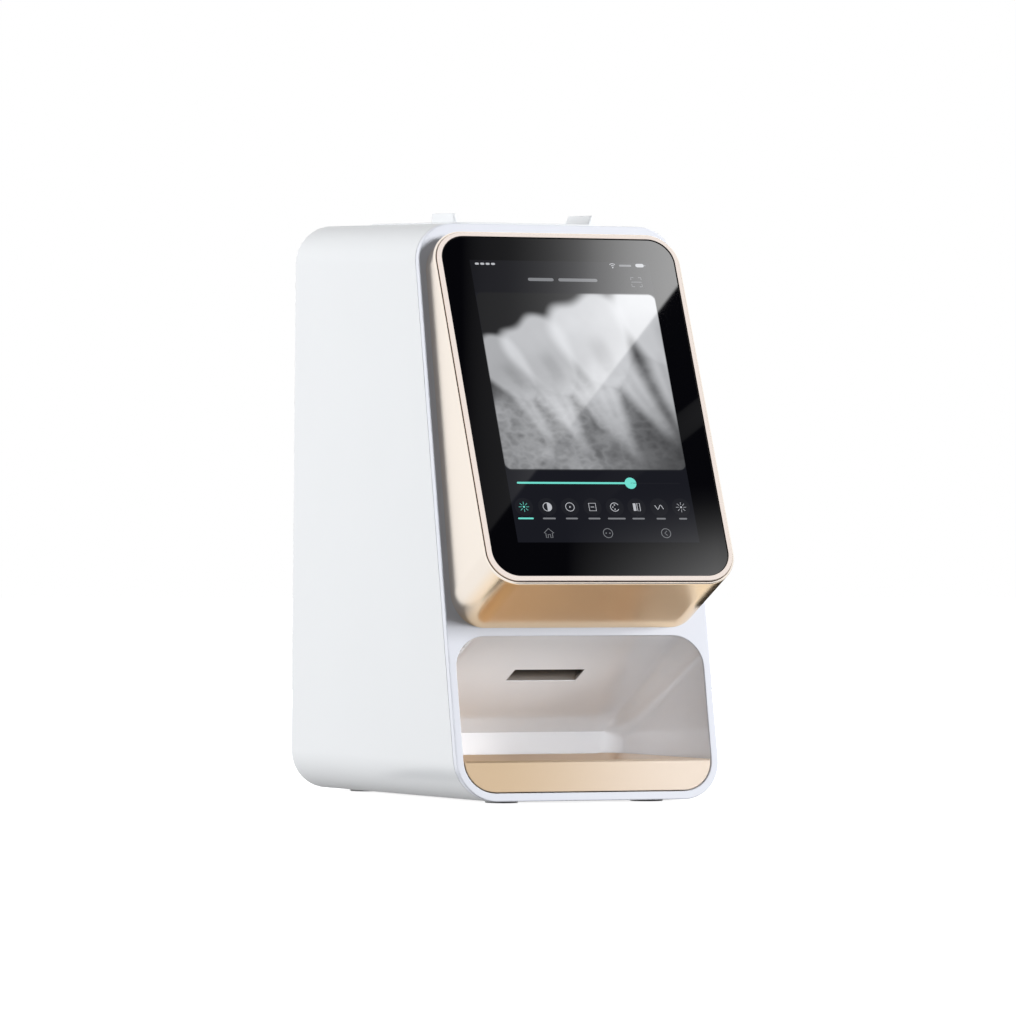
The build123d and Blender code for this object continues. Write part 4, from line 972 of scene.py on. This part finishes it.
# Stroke: four lines beside a path, path +- side * width / 2 at two heights, closed at its ends
def stroke(path, width, closed=False):
    path = np.array(path, float)
    ahead = np.roll(path, -1, axis=0) - np.roll(path, 1, axis=0)
    if not closed:
        ahead[0], ahead[-1] = path[1] - path[0], path[-1] - path[-2]
    side = np.stack([-ahead[:, 1], ahead[:, 0]], axis=-1) / np.linalg.norm(ahead, axis=1)[:, None] * width / 2
    low, high = screenLook["low"], screenLook["symbolLift"]
    lines = [(path + side, low), (path + side, high), (path - side, high), (path - side, low)]
    rows = np.stack([onPlane(screenPlane, line[:, 0], line[:, 1], height) for line, height in lines])
    points, cells = gridPatch(rows, closeRows=True, closeColumns=closed)
    count = len(path)
    if not closed:
        cells += [[0, count, 2 * count, 3 * count], [count - 1, 4 * count - 1, 3 * count - 1, 2 * count - 1]]
    return points, cells


# Plate of any outline between the two heights, lifted a little less than the strokes if it lies under them
def plate(outline, sink=0.0):
    outline = np.array(outline, float)
    heights = (screenLook["low"], screenLook["symbolLift"] - sink)
    rows = np.stack([onPlane(screenPlane, outline[:, 0], outline[:, 1], height) for height in heights])
    points, cells = gridPatch(rows, closeColumns=True)
    count = len(outline)
    return points, cells + [list(range(count))[::-1], list(range(count, 2 * count))]


# Arc of a circle = centre + radius * (cos a, sin a)
def arc(x, y, radius, start=0.0, end=360.0, steps=28):
    angle = np.radians(np.linspace(start, end, steps, endpoint=end - start < 360))
    return np.stack([x + radius * np.cos(angle), y + radius * np.sin(angle)], axis=-1)


# Bar with round ends from x0 to x1
def bar(x0, x1, y, thick):
    half = thick / 2
    ends = [arc(x1 - half, y, half, -90, 90, 8), arc(x0 + half, y, half, 90, 270, 8)]
    return plate(np.concatenate(ends))


# Rays of a sun: strokes from an inner to an outer radius
def rays(x, y, inner, outer, count, width):
    drawn = []
    for k in range(count):
        away = np.array([math.cos(math.tau * k / count), math.sin(math.tau * k / count)])
        drawn.append(stroke([(x, y) + inner * away, (x, y) + outer * away], width))
    return drawn


# Tool icons from left to right, each drawn round its own place
def toolIcons():
    look = screenLook
    line, r, y = look["line"], look["iconRadius"], look["iconY"]
    drawn = []
    for index, x in enumerate(look["iconPlaces"]):
        tint = "teal" if index == 0 else "white"
        if index in (0, 7):
            shapes = rays(x, y, 0.55 * r, 1.2 * r, 8, 0.6 * line) + [plate(arc(x, y, 0.24 * r, steps=12))]
        elif index == 1:
            shapes = [stroke(arc(x, y, r), line, True), plate(arc(x, y, r, -90, 90, 14))]
        elif index == 2:
            shapes = [stroke(arc(x, y, r), line, True), plate(arc(x, y, 0.3 * r, steps=3))]
        elif index == 3:
            corners = [(-0.8, -0.9), (0.8, -0.9), (0.8, 0.9), (-0.8, 0.9)]
            shapes = [stroke([(x + a * r, y + b * r) for a, b in corners], line, True)]
            shapes += [stroke([(x - 0.4 * r, y), (x + 0.4 * r, y)], line)]
        elif index == 4:
            dots = ((0, 0.5), (-0.45, 0), (0, -0.5))
            shapes = [stroke(arc(x, y, r, 30, 330), line)]
            shapes += [plate(arc(x + a * r, y + b * r, 0.16 * r, steps=8)) for a, b in dots]
        elif index == 5:
            corners = [(0.15, -0.9), (0.8, -0.9), (0.8, 0.9), (0.15, 0.9)]
            shapes = [plate([(x - a * r, y + b * r) for a, b in corners[::-1]])]
            shapes += [stroke([(x + a * r, y + b * r) for a, b in corners], line, True)]
        else:
            wave = np.linspace(-1, 1, 20)
            shapes = [stroke(np.stack([x + wave * r, y + 0.5 * r * np.sin(wave * 4.2)], axis=-1), line)]
        drawn += [(shape, tint) for shape in shapes]
        drawn.append((plate(arc(x, y, look["discRadius"]), sink=look["discSink"]), "disc"))
        half = look["labelHalves"][index]
        label = bar(x - half, x + half, look["labelY"], look["labelThick"])
        drawn.append((label, "teal" if index == 0 else "dim"))
    return drawn


# What else the screen shows: bars are (x0, x1, y, thickness, tint); waves, their dot and the slider's knob
# are (x, y, radius); what a key shows is drawn in units of the key's radius
furniture = {
    "bars": [
        (-0.0444, -0.0423, 0.0760, 0.0011, "white"), (-0.0416, -0.0395, 0.0760, 0.0011, "white"),
        (-0.0388, -0.0367, 0.0760, 0.0011, "white"), (-0.0360, -0.0339, 0.0760, 0.0011, "white"),
        (0.0315, 0.0380, 0.0762, 0.0011, "dim"), (0.0402, 0.0447, 0.0764, 0.0019, "white"),
        (0.0449, 0.0456, 0.0764, 0.0007, "dim"), (-0.0180, -0.0045, 0.0679, 0.0017, "dim"),
        (-0.0020, 0.0186, 0.0679, 0.0017, "dim"), (-0.0422, 0.0169, -0.0414, 0.0010, "teal"),
        (0.0169, 0.0428, -0.0414, 0.0004, "disc"),
    ],
    "waves": (0.0280, 0.0750, (0.0012, 0.0022)), "waveDot": (0.0280, 0.0751, 0.0004),
    "frame": {"x": 0.0392, "y": 0.0673, "halfX": 0.0027, "halfY": 0.0025, "arm": 0.45,
              "bar": (0.0365, 0.0419)},
    "slider": (0.0169, -0.0414, 0.0030),
    "keyY": -0.0679, "keyRadius": 0.0024, "keyPlaces": (-0.0301, 0.0005, 0.0308),
    "house": [(-1.05, 0.0), (0.0, 1.0), (1.05, 0.0), (0.7, 0.0), (0.7, -1.0), (0.25, -1.0), (0.25, -0.3),
              (-0.25, -0.3), (-0.25, -1.0), (-0.7, -1.0), (-0.7, 0.0)],
    "keyDots": (-0.4, 0.4), "keyDotRadius": 0.15, "chevron": [(0.25, 0.5), (-0.3, 0.0), (0.25, -0.5)],
}


# Status line, title place, frame icon, slider and the three keys at the foot of the screen
def screenFurniture():
    look, line = furniture, screenLook["line"]
    drawn = [(bar(x0, x1, y, thick), tint) for x0, x1, y, thick, tint in look["bars"]]
    x, y, radii = look["waves"]
    drawn += [(stroke(arc(x, y, radius, 50, 130, 8), line), "white") for radius in radii]
    drawn.append((plate(arc(*look["waveDot"], steps=8)), "white"))
    frameIcon = look["frame"]
    x, y, arm = frameIcon["x"], frameIcon["y"], frameIcon["arm"]
    for a, b in ((-1, -1), (-1, 1), (1, -1), (1, 1)):
        halfX, halfY = a * frameIcon["halfX"], b * frameIcon["halfY"]
        corner = [(x + p * halfX, y + q * halfY) for p, q in ((arm, 1.0), (1.0, 1.0), (1.0, arm))]
        drawn.append((stroke(corner, line), "dim"))
    drawn.append((stroke([(end, y) for end in frameIcon["bar"]], line), "dim"))
    drawn.append((plate(arc(*look["slider"])), "teal"))
    y, r = look["keyY"], look["keyRadius"]
    left, middle, right = look["keyPlaces"]
    drawn.append((stroke([(left + a * r, y + b * r) for a, b in look["house"]], line, True), "dim"))
    drawn += [(stroke(arc(x, y, r), line, True), "dim") for x in (middle, right)]
    dotRadius = look["keyDotRadius"] * r
    drawn += [(plate(arc(middle + a * r, y, dotRadius, steps=8)), "dim") for a in look["keyDots"]]
    drawn.append((stroke([(right + a * r, y + b * r) for a, b in look["chevron"]], line), "dim"))
    return drawn


# All symbols in one mesh, each point with its symbol's colour
def buildSymbols():
    drawn = toolIcons() + screenFurniture()
    mesh = joinPatches("screen_symbols", [patch for patch, tint in drawn])
    turnOutward(mesh, weld=False)
    colours = [np.tile(screenLook[tint], (len(points), 1)) for (points, cells), tint in drawn]
    paintPoints(mesh, np.concatenate(colours))
    return placePiece(mesh, screenFinish, "case")


buildShell()
buildFrame()
buildHousing()
buildRing()
mirrorPieces = [buildGlass(), buildPicture(), buildSymbols()]
bayPieces = [buildLiner()]
buildThroat()
buildTray()
buildRoofPanel()
buildRails()
buildScrews()
buildFeet()
buildSocketInsides()
print("case, display, bay, tray, roof, screws, feet and sockets made")

# Carried-over nodes take the finish of their slot
for part in frame["record"]["subparts"]:
    node = frame["nodes"][part["node"]]
    for materialSlot in node.material_slots:
        materialSlot.material = finishes[part["material_slot"]]
print("carried-over nodes finished")

# Camera, light and floor
cameraView = {
    "place": (-1.299208, -3.209462, 0.118689), "right": (0.927184, -0.374607, 0.0),
    "up": (-0.002404, -0.005949, 0.999979), "ahead": (0.374599, 0.927165, 0.006417),
    "lens": 245.715, "sensor": 36.0, "reach": 20.0,
}


# Camera whose axes are right, up and backwards (= minus ahead), at its place
def buildCamera():
    data = bpy.data.cameras.new("camera")
    data.lens = cameraView["lens"]
    data.sensor_width = cameraView["sensor"]
    data.clip_end = cameraView["reach"]
    camera = bpy.data.objects.new("camera", data)
    columns = [Vector(cameraView["right"]), Vector(cameraView["up"]), -Vector(cameraView["ahead"])]
    camera.matrix_world = Matrix.Translation(cameraView["place"]) @ Matrix(columns).transposed().to_4x4()
    bpy.context.scene.collection.objects.link(camera)
    bpy.context.scene.camera = camera


# Camera, glossy and transmission rays see plain white. What lights the object is
# level = the larger of least and middle + direction . lean,
# so it is brighter from the right and the front, and from the horizon than from above.
lightLook = {
    "middle": 0.27, "lean": (0.05, -0.05, -0.12), "least": 0.08, "colour": (0.98, 0.99, 1.0, 1),
    "seen": (1, 1, 1, 1), "seenLevel": 1.0,
}


# Is Camera Ray + Is Glossy Ray + Is Transmission Ray, at most 1, and none after a diffuse bounce
def seenRays(tree):
    path = tree.nodes.new("ShaderNodeLightPath")
    total = path.outputs["Is Camera Ray"]
    for name in ("Is Glossy Ray", "Is Transmission Ray"):
        total = mathNode(tree, "ADD", total, path.outputs[name])
        total.node.use_clamp = True
    return mathNode(tree, "MULTIPLY", total, mathNode(tree, "LESS_THAN", path.outputs["Diffuse Depth"], 0.5))


# Shader = first * (1 - factor) + second * factor
def mixShaders(tree, factor, first, second):
    mix = tree.nodes.new("ShaderNodeMixShader")
    tree.links.new(factor, mix.inputs["Fac"])
    tree.links.new(first, mix.inputs[1])
    tree.links.new(second, mix.inputs[2])
    return mix.outputs[0]


# World: the level above for light on the object, plain white for the rays that are seen
def buildWorld():
    look = lightLook
    world = bpy.data.worlds.new("studio")
    bpy.context.scene.world = world
    world.use_nodes = True
    tree = world.node_tree
    tree.nodes.clear()
    place = tree.nodes.new("ShaderNodeTexCoord")
    dot = tree.nodes.new("ShaderNodeVectorMath")
    dot.operation = "DOT_PRODUCT"
    dot.inputs[1].default_value = look["lean"]
    tree.links.new(place.outputs["Generated"], dot.inputs[0])
    level = mathNode(tree, "ADD", dot.outputs["Value"], look["middle"])
    light = addNode(tree, "ShaderNodeBackground", Color=look["colour"])
    tree.links.new(mathNode(tree, "MAXIMUM", level, look["least"]), light.inputs["Strength"])
    plain = addNode(tree, "ShaderNodeBackground", Color=look["seen"], Strength=look["seenLevel"])
    output = tree.nodes.new("ShaderNodeOutputWorld")
    surface = mixShaders(tree, seenRays(tree), light.outputs[0], plain.outputs[0])
    tree.links.new(surface, output.inputs["Surface"])


# Flat staged rectangle = centre +- width / 2 * x axis +- height / 2 * y axis
def stagedPlane(name, centre, xAxis, yAxis, width, height, material):
    xAxis, yAxis = np.array(xAxis, float), np.array(yAxis, float)
    corners = [(-1, -1), (1, -1), (1, 1), (-1, 1)]
    points = [np.array(centre) + a * width / 2 * xAxis + b * height / 2 * yAxis for a, b in corners]
    mesh = bpy.data.meshes.new(name)
    mesh.from_pydata([p.tolist() for p in points], [], [(0, 1, 2, 3)])
    mesh.materials.append(material)
    card = bpy.data.objects.new(name, mesh)
    bpy.context.scene.collection.objects.link(card)
    return card


floorLook = {
    "size": 60.0, "matte": (0.11, 0.11, 0.115, 1), "white": (1, 1, 1, 1), "inGloss": 0.94,
    "shaded": (0.9, 0.9, 0.9, 1), "glow": 0.90,
}


# Floor: matte to diffuse light, plain pale in gloss, and white to the camera except where the object
# shades it
def buildFloor():
    look = floorLook
    material = bpy.data.materials.new("floor")
    material.use_nodes = True
    tree = material.node_tree
    tree.nodes.clear()
    matte = addNode(tree, "ShaderNodeBsdfDiffuse", Color=look["matte"])
    mirrored = addNode(tree, "ShaderNodeEmission", Color=look["white"], Strength=look["inGloss"])
    shaded = addNode(tree, "ShaderNodeBsdfDiffuse", Color=look["shaded"])
    glow = addNode(tree, "ShaderNodeEmission", Color=look["white"], Strength=look["glow"])
    both = tree.nodes.new("ShaderNodeAddShader")
    tree.links.new(shaded.outputs[0], both.inputs[0])
    tree.links.new(glow.outputs[0], both.inputs[1])
    unseen = mixShaders(tree, seenRays(tree), matte.outputs[0], mirrored.outputs[0])
    toCamera = tree.nodes.new("ShaderNodeLightPath").outputs["Is Camera Ray"]
    output = tree.nodes.new("ShaderNodeOutputMaterial")
    tree.links.new(mixShaders(tree, toCamera, unseen, both.outputs[0]), output.inputs["Surface"])
    stagedPlane("floor", (0, 0, 0), (1, 0, 0), (0, 1, 0), look["size"], look["size"], material)


# Card mirrored in the glass. Its plane faces the glass along the mirrored view, and only the glass, the
# picture and the symbols take light from it. Its tone is a ramp that rises to the right, kept above a
# slanting line, plus a faint ramp at the foot and a faint slanting band, both only towards the right.
cardLook = {
    "glass": (0.0, -0.09238, 0.1918), "away": 0.6, "toward": (0.38463, -0.58759, 0.71190),
    "x": (0.92718, 0.24517, -0.28323), "y": (-0.0024, 0.75996, 0.64997), "width": 0.26, "height": 0.34,
    "slope": 1.2977, "start": -0.0011, "edge": 0.0012,
    "ramp": ((-0.070, 0.0), (-0.062, 0.14), (-0.037, 0.42), (-0.010, 1.6), (0.010, 4.0), (0.035, 7.0),
             (0.075, 9.6)),
    "foot": ((-0.115, 3.8), (-0.085, 1.8), (-0.060, 0.25), (-0.045, 0.0)),
    "rightward": ((-0.01, 0.0), (0.03, 0.35), (0.075, 1.0)),
    "bandSlope": 0.78, "band": (-0.0632, -0.0470), "bandLevel": 0.24,
}


# Value through points (place, level) of a float curve on a coordinate
def rampNode(tree, coordinate, points):
    low, high = points[0][0], points[-1][0]
    top = max(level for place, level in points)
    spread = addNode(tree, "ShaderNodeMapRange", From_Min=low, From_Max=high)
    curve = tree.nodes.new("ShaderNodeFloatCurve")
    line = curve.mapping.curves[0]
    line.points[0].location = (0.0, points[0][1] / top)
    line.points[-1].location = (1.0, points[-1][1] / top)
    for place, level in points[1:-1]:
        line.points.new((place - low) / (high - low), level / top)
    curve.mapping.update()
    tree.links.new(coordinate, spread.inputs["Value"])
    tree.links.new(spread.outputs["Result"], curve.inputs["Value"])
    return mathNode(tree, "MULTIPLY", curve.outputs["Value"], top)


# Card: x and y in metres from its middle, over = y - slope * x - start, across = y - band slope * x
def buildCard():
    look = cardLook
    material = bpy.data.materials.new("mirrored_card")
    material.use_nodes = True
    tree = material.node_tree
    tree.nodes.clear()
    place = tree.nodes.new("ShaderNodeUVMap")
    place.uv_map = "card"
    split = tree.nodes.new("ShaderNodeSeparateXYZ")
    glow = tree.nodes.new("ShaderNodeEmission")
    output = tree.nodes.new("ShaderNodeOutputMaterial")
    tree.links.new(place.outputs[0], split.inputs[0])
    x = mathNode(tree, "MULTIPLY", mathNode(tree, "SUBTRACT", split.outputs["X"], 0.5), look["width"])
    y = mathNode(tree, "MULTIPLY", mathNode(tree, "SUBTRACT", split.outputs["Y"], 0.5), look["height"])
    over = mathNode(tree, "SUBTRACT", y, mathNode(tree, "MULTIPLY", x, look["slope"]))
    over = mathNode(tree, "SUBTRACT", over, look["start"])
    mask = addNode(tree, "ShaderNodeMapRange", From_Min=-look["edge"], From_Max=look["edge"])
    tree.links.new(over, mask.inputs["Value"])
    upper = mathNode(tree, "MULTIPLY", rampNode(tree, x, look["ramp"]), mask.outputs["Result"])
    rightward = rampNode(tree, x, look["rightward"])
    lower = mathNode(tree, "MULTIPLY", rampNode(tree, y, look["foot"]), rightward)
    across = mathNode(tree, "SUBTRACT", y, mathNode(tree, "MULTIPLY", x, look["bandSlope"]))
    low, high = look["band"]
    soft = look["edge"]
    rise, fall = ((low - soft, 0.0), (low + soft, 1.0)), ((high - soft, 1.0), (high + soft, 0.0))
    band = rampNode(tree, across, rise + fall)
    band = mathNode(tree, "MULTIPLY", mathNode(tree, "MULTIPLY", band, rightward), look["bandLevel"])
    light = mathNode(tree, "ADD", mathNode(tree, "ADD", upper, lower), band)
    tree.links.new(light, glow.inputs["Strength"])
    tree.links.new(glow.outputs[0], output.inputs["Surface"])
    centre = np.array(look["glass"]) + look["away"] * np.array(look["toward"])
    card = stagedPlane("mirrored_card", centre, look["x"], look["y"], look["width"], look["height"], material)
    card.data.uv_layers.new(name="card").data.foreach_set("uv", (0, 0, 1, 0, 1, 1, 0, 1))
    card.visible_camera = False
    card.visible_diffuse = False
    card.visible_shadow = False
    receivers = bpy.data.collections.new("mirrors")
    for piece in mirrorPieces:
        receivers.objects.link(piece)
    card.light_linking.receiver_collection = receivers


# Lamps: place, target, size and power of each soft area light; the bay's fill and uplight light only the
# bay's liner
lampLook = {
    "leftSide": {"place": (-2.5, 0.60, 0.52), "target": (0, 0, 0.14), "size": 0.9, "power": 56.0},
    "frontRight": {"place": (1.5, -2.1, 0.95), "target": (0, -0.05, 0.12), "size": 0.8, "power": 68.0},
    "rear": {"place": (0.9, 2.6, 0.35), "target": (0, 0.1, 0.14), "size": 1.1, "power": 40.0},
    "bayFill": {"place": (-0.5, -2.3, 0.10), "target": (0, -0.02, 0.05), "size": 0.9, "power": 46.0,
                "colour": (0.90, 0.96, 1.0), "bayOnly": True},
    "bayUplight": {"place": (-0.015, -0.060, 0.024), "target": (-0.012, -0.025, 0.09), "size": 0.085,
                   "power": 0.014, "colour": (0.90, 0.96, 1.0), "bayOnly": True},
}


# Round area lights turned from their places to their targets, seen neither directly nor in gloss
def buildLamps():
    for name, look in lampLook.items():
        data = bpy.data.lights.new(name, "AREA")
        data.shape = "DISK"
        data.size = look["size"]
        data.energy = look["power"]
        data.color = look.get("colour", (1.0, 1.0, 1.0))
        lamp = bpy.data.objects.new(name, data)
        toward = Vector(look["target"]) - Vector(look["place"])
        turn = toward.to_track_quat("-Z", "Y").to_matrix().to_4x4()
        lamp.matrix_world = Matrix.Translation(look["place"]) @ turn
        lamp.visible_camera = False
        lamp.visible_glossy = False
        bpy.context.scene.collection.objects.link(lamp)
        if "bayOnly" in look:
            receivers = bpy.data.collections.new("bay_pieces")
            for piece in bayPieces:
                receivers.objects.link(piece)
            lamp.light_linking.receiver_collection = receivers


# Dark flags, seen only in gloss: they draw the dark edges on the gold's corners and under its lip. The flag
# at the left foot is a painted shadow: a dark strip on the floor beside the case's left side that stands in
# for its contact shadow in reflections
flagLook = {
    "rightCorner": {"place": (0.135, 0.012, 0.064), "x": (0.83, -0.555, 0), "y": (0, 0, 1),
                    "width": 0.12, "height": 0.124},
    # Painted shadow: stands in for the case's contact shadow on the floor, as seen in gloss
    "leftFootShadow": {"place": (-0.084, -0.03, 0.0015), "x": (1, 0, 0), "y": (0, 1, 0),
                 "width": 0.026, "height": 0.11},
    "frontFloor": {"place": (0.15, -0.42, 0.0015), "x": (1, 0, 0), "y": (0, 1, 0),
                   "width": 0.32, "height": 0.44},
}
flagColour = (0.01, 0.01, 0.01, 1)


# Dark staged rectangles that only glossy rays meet: no camera, diffuse, shadow or transmission rays
def buildFlags():
    dark = bpy.data.materials.new("flag")
    dark.use_nodes = True
    shader = dark.node_tree.nodes["Principled BSDF"]
    shader.inputs["Base Color"].default_value = flagColour
    shader.inputs["Specular IOR Level"].default_value = 0.0
    for name, look in flagLook.items():
        size = (look["width"], look["height"])
        flag = stagedPlane("flag_" + name, look["place"], look["x"], look["y"], *size, dark)
        flag.visible_camera = False
        flag.visible_diffuse = False
        flag.visible_shadow = False
        flag.visible_transmission = False


buildCamera()
buildWorld()
buildFloor()
buildCard()
buildFlags()
buildLamps()
bpy.context.scene.view_settings.view_transform = "Standard"
print("camera, light and floor made")
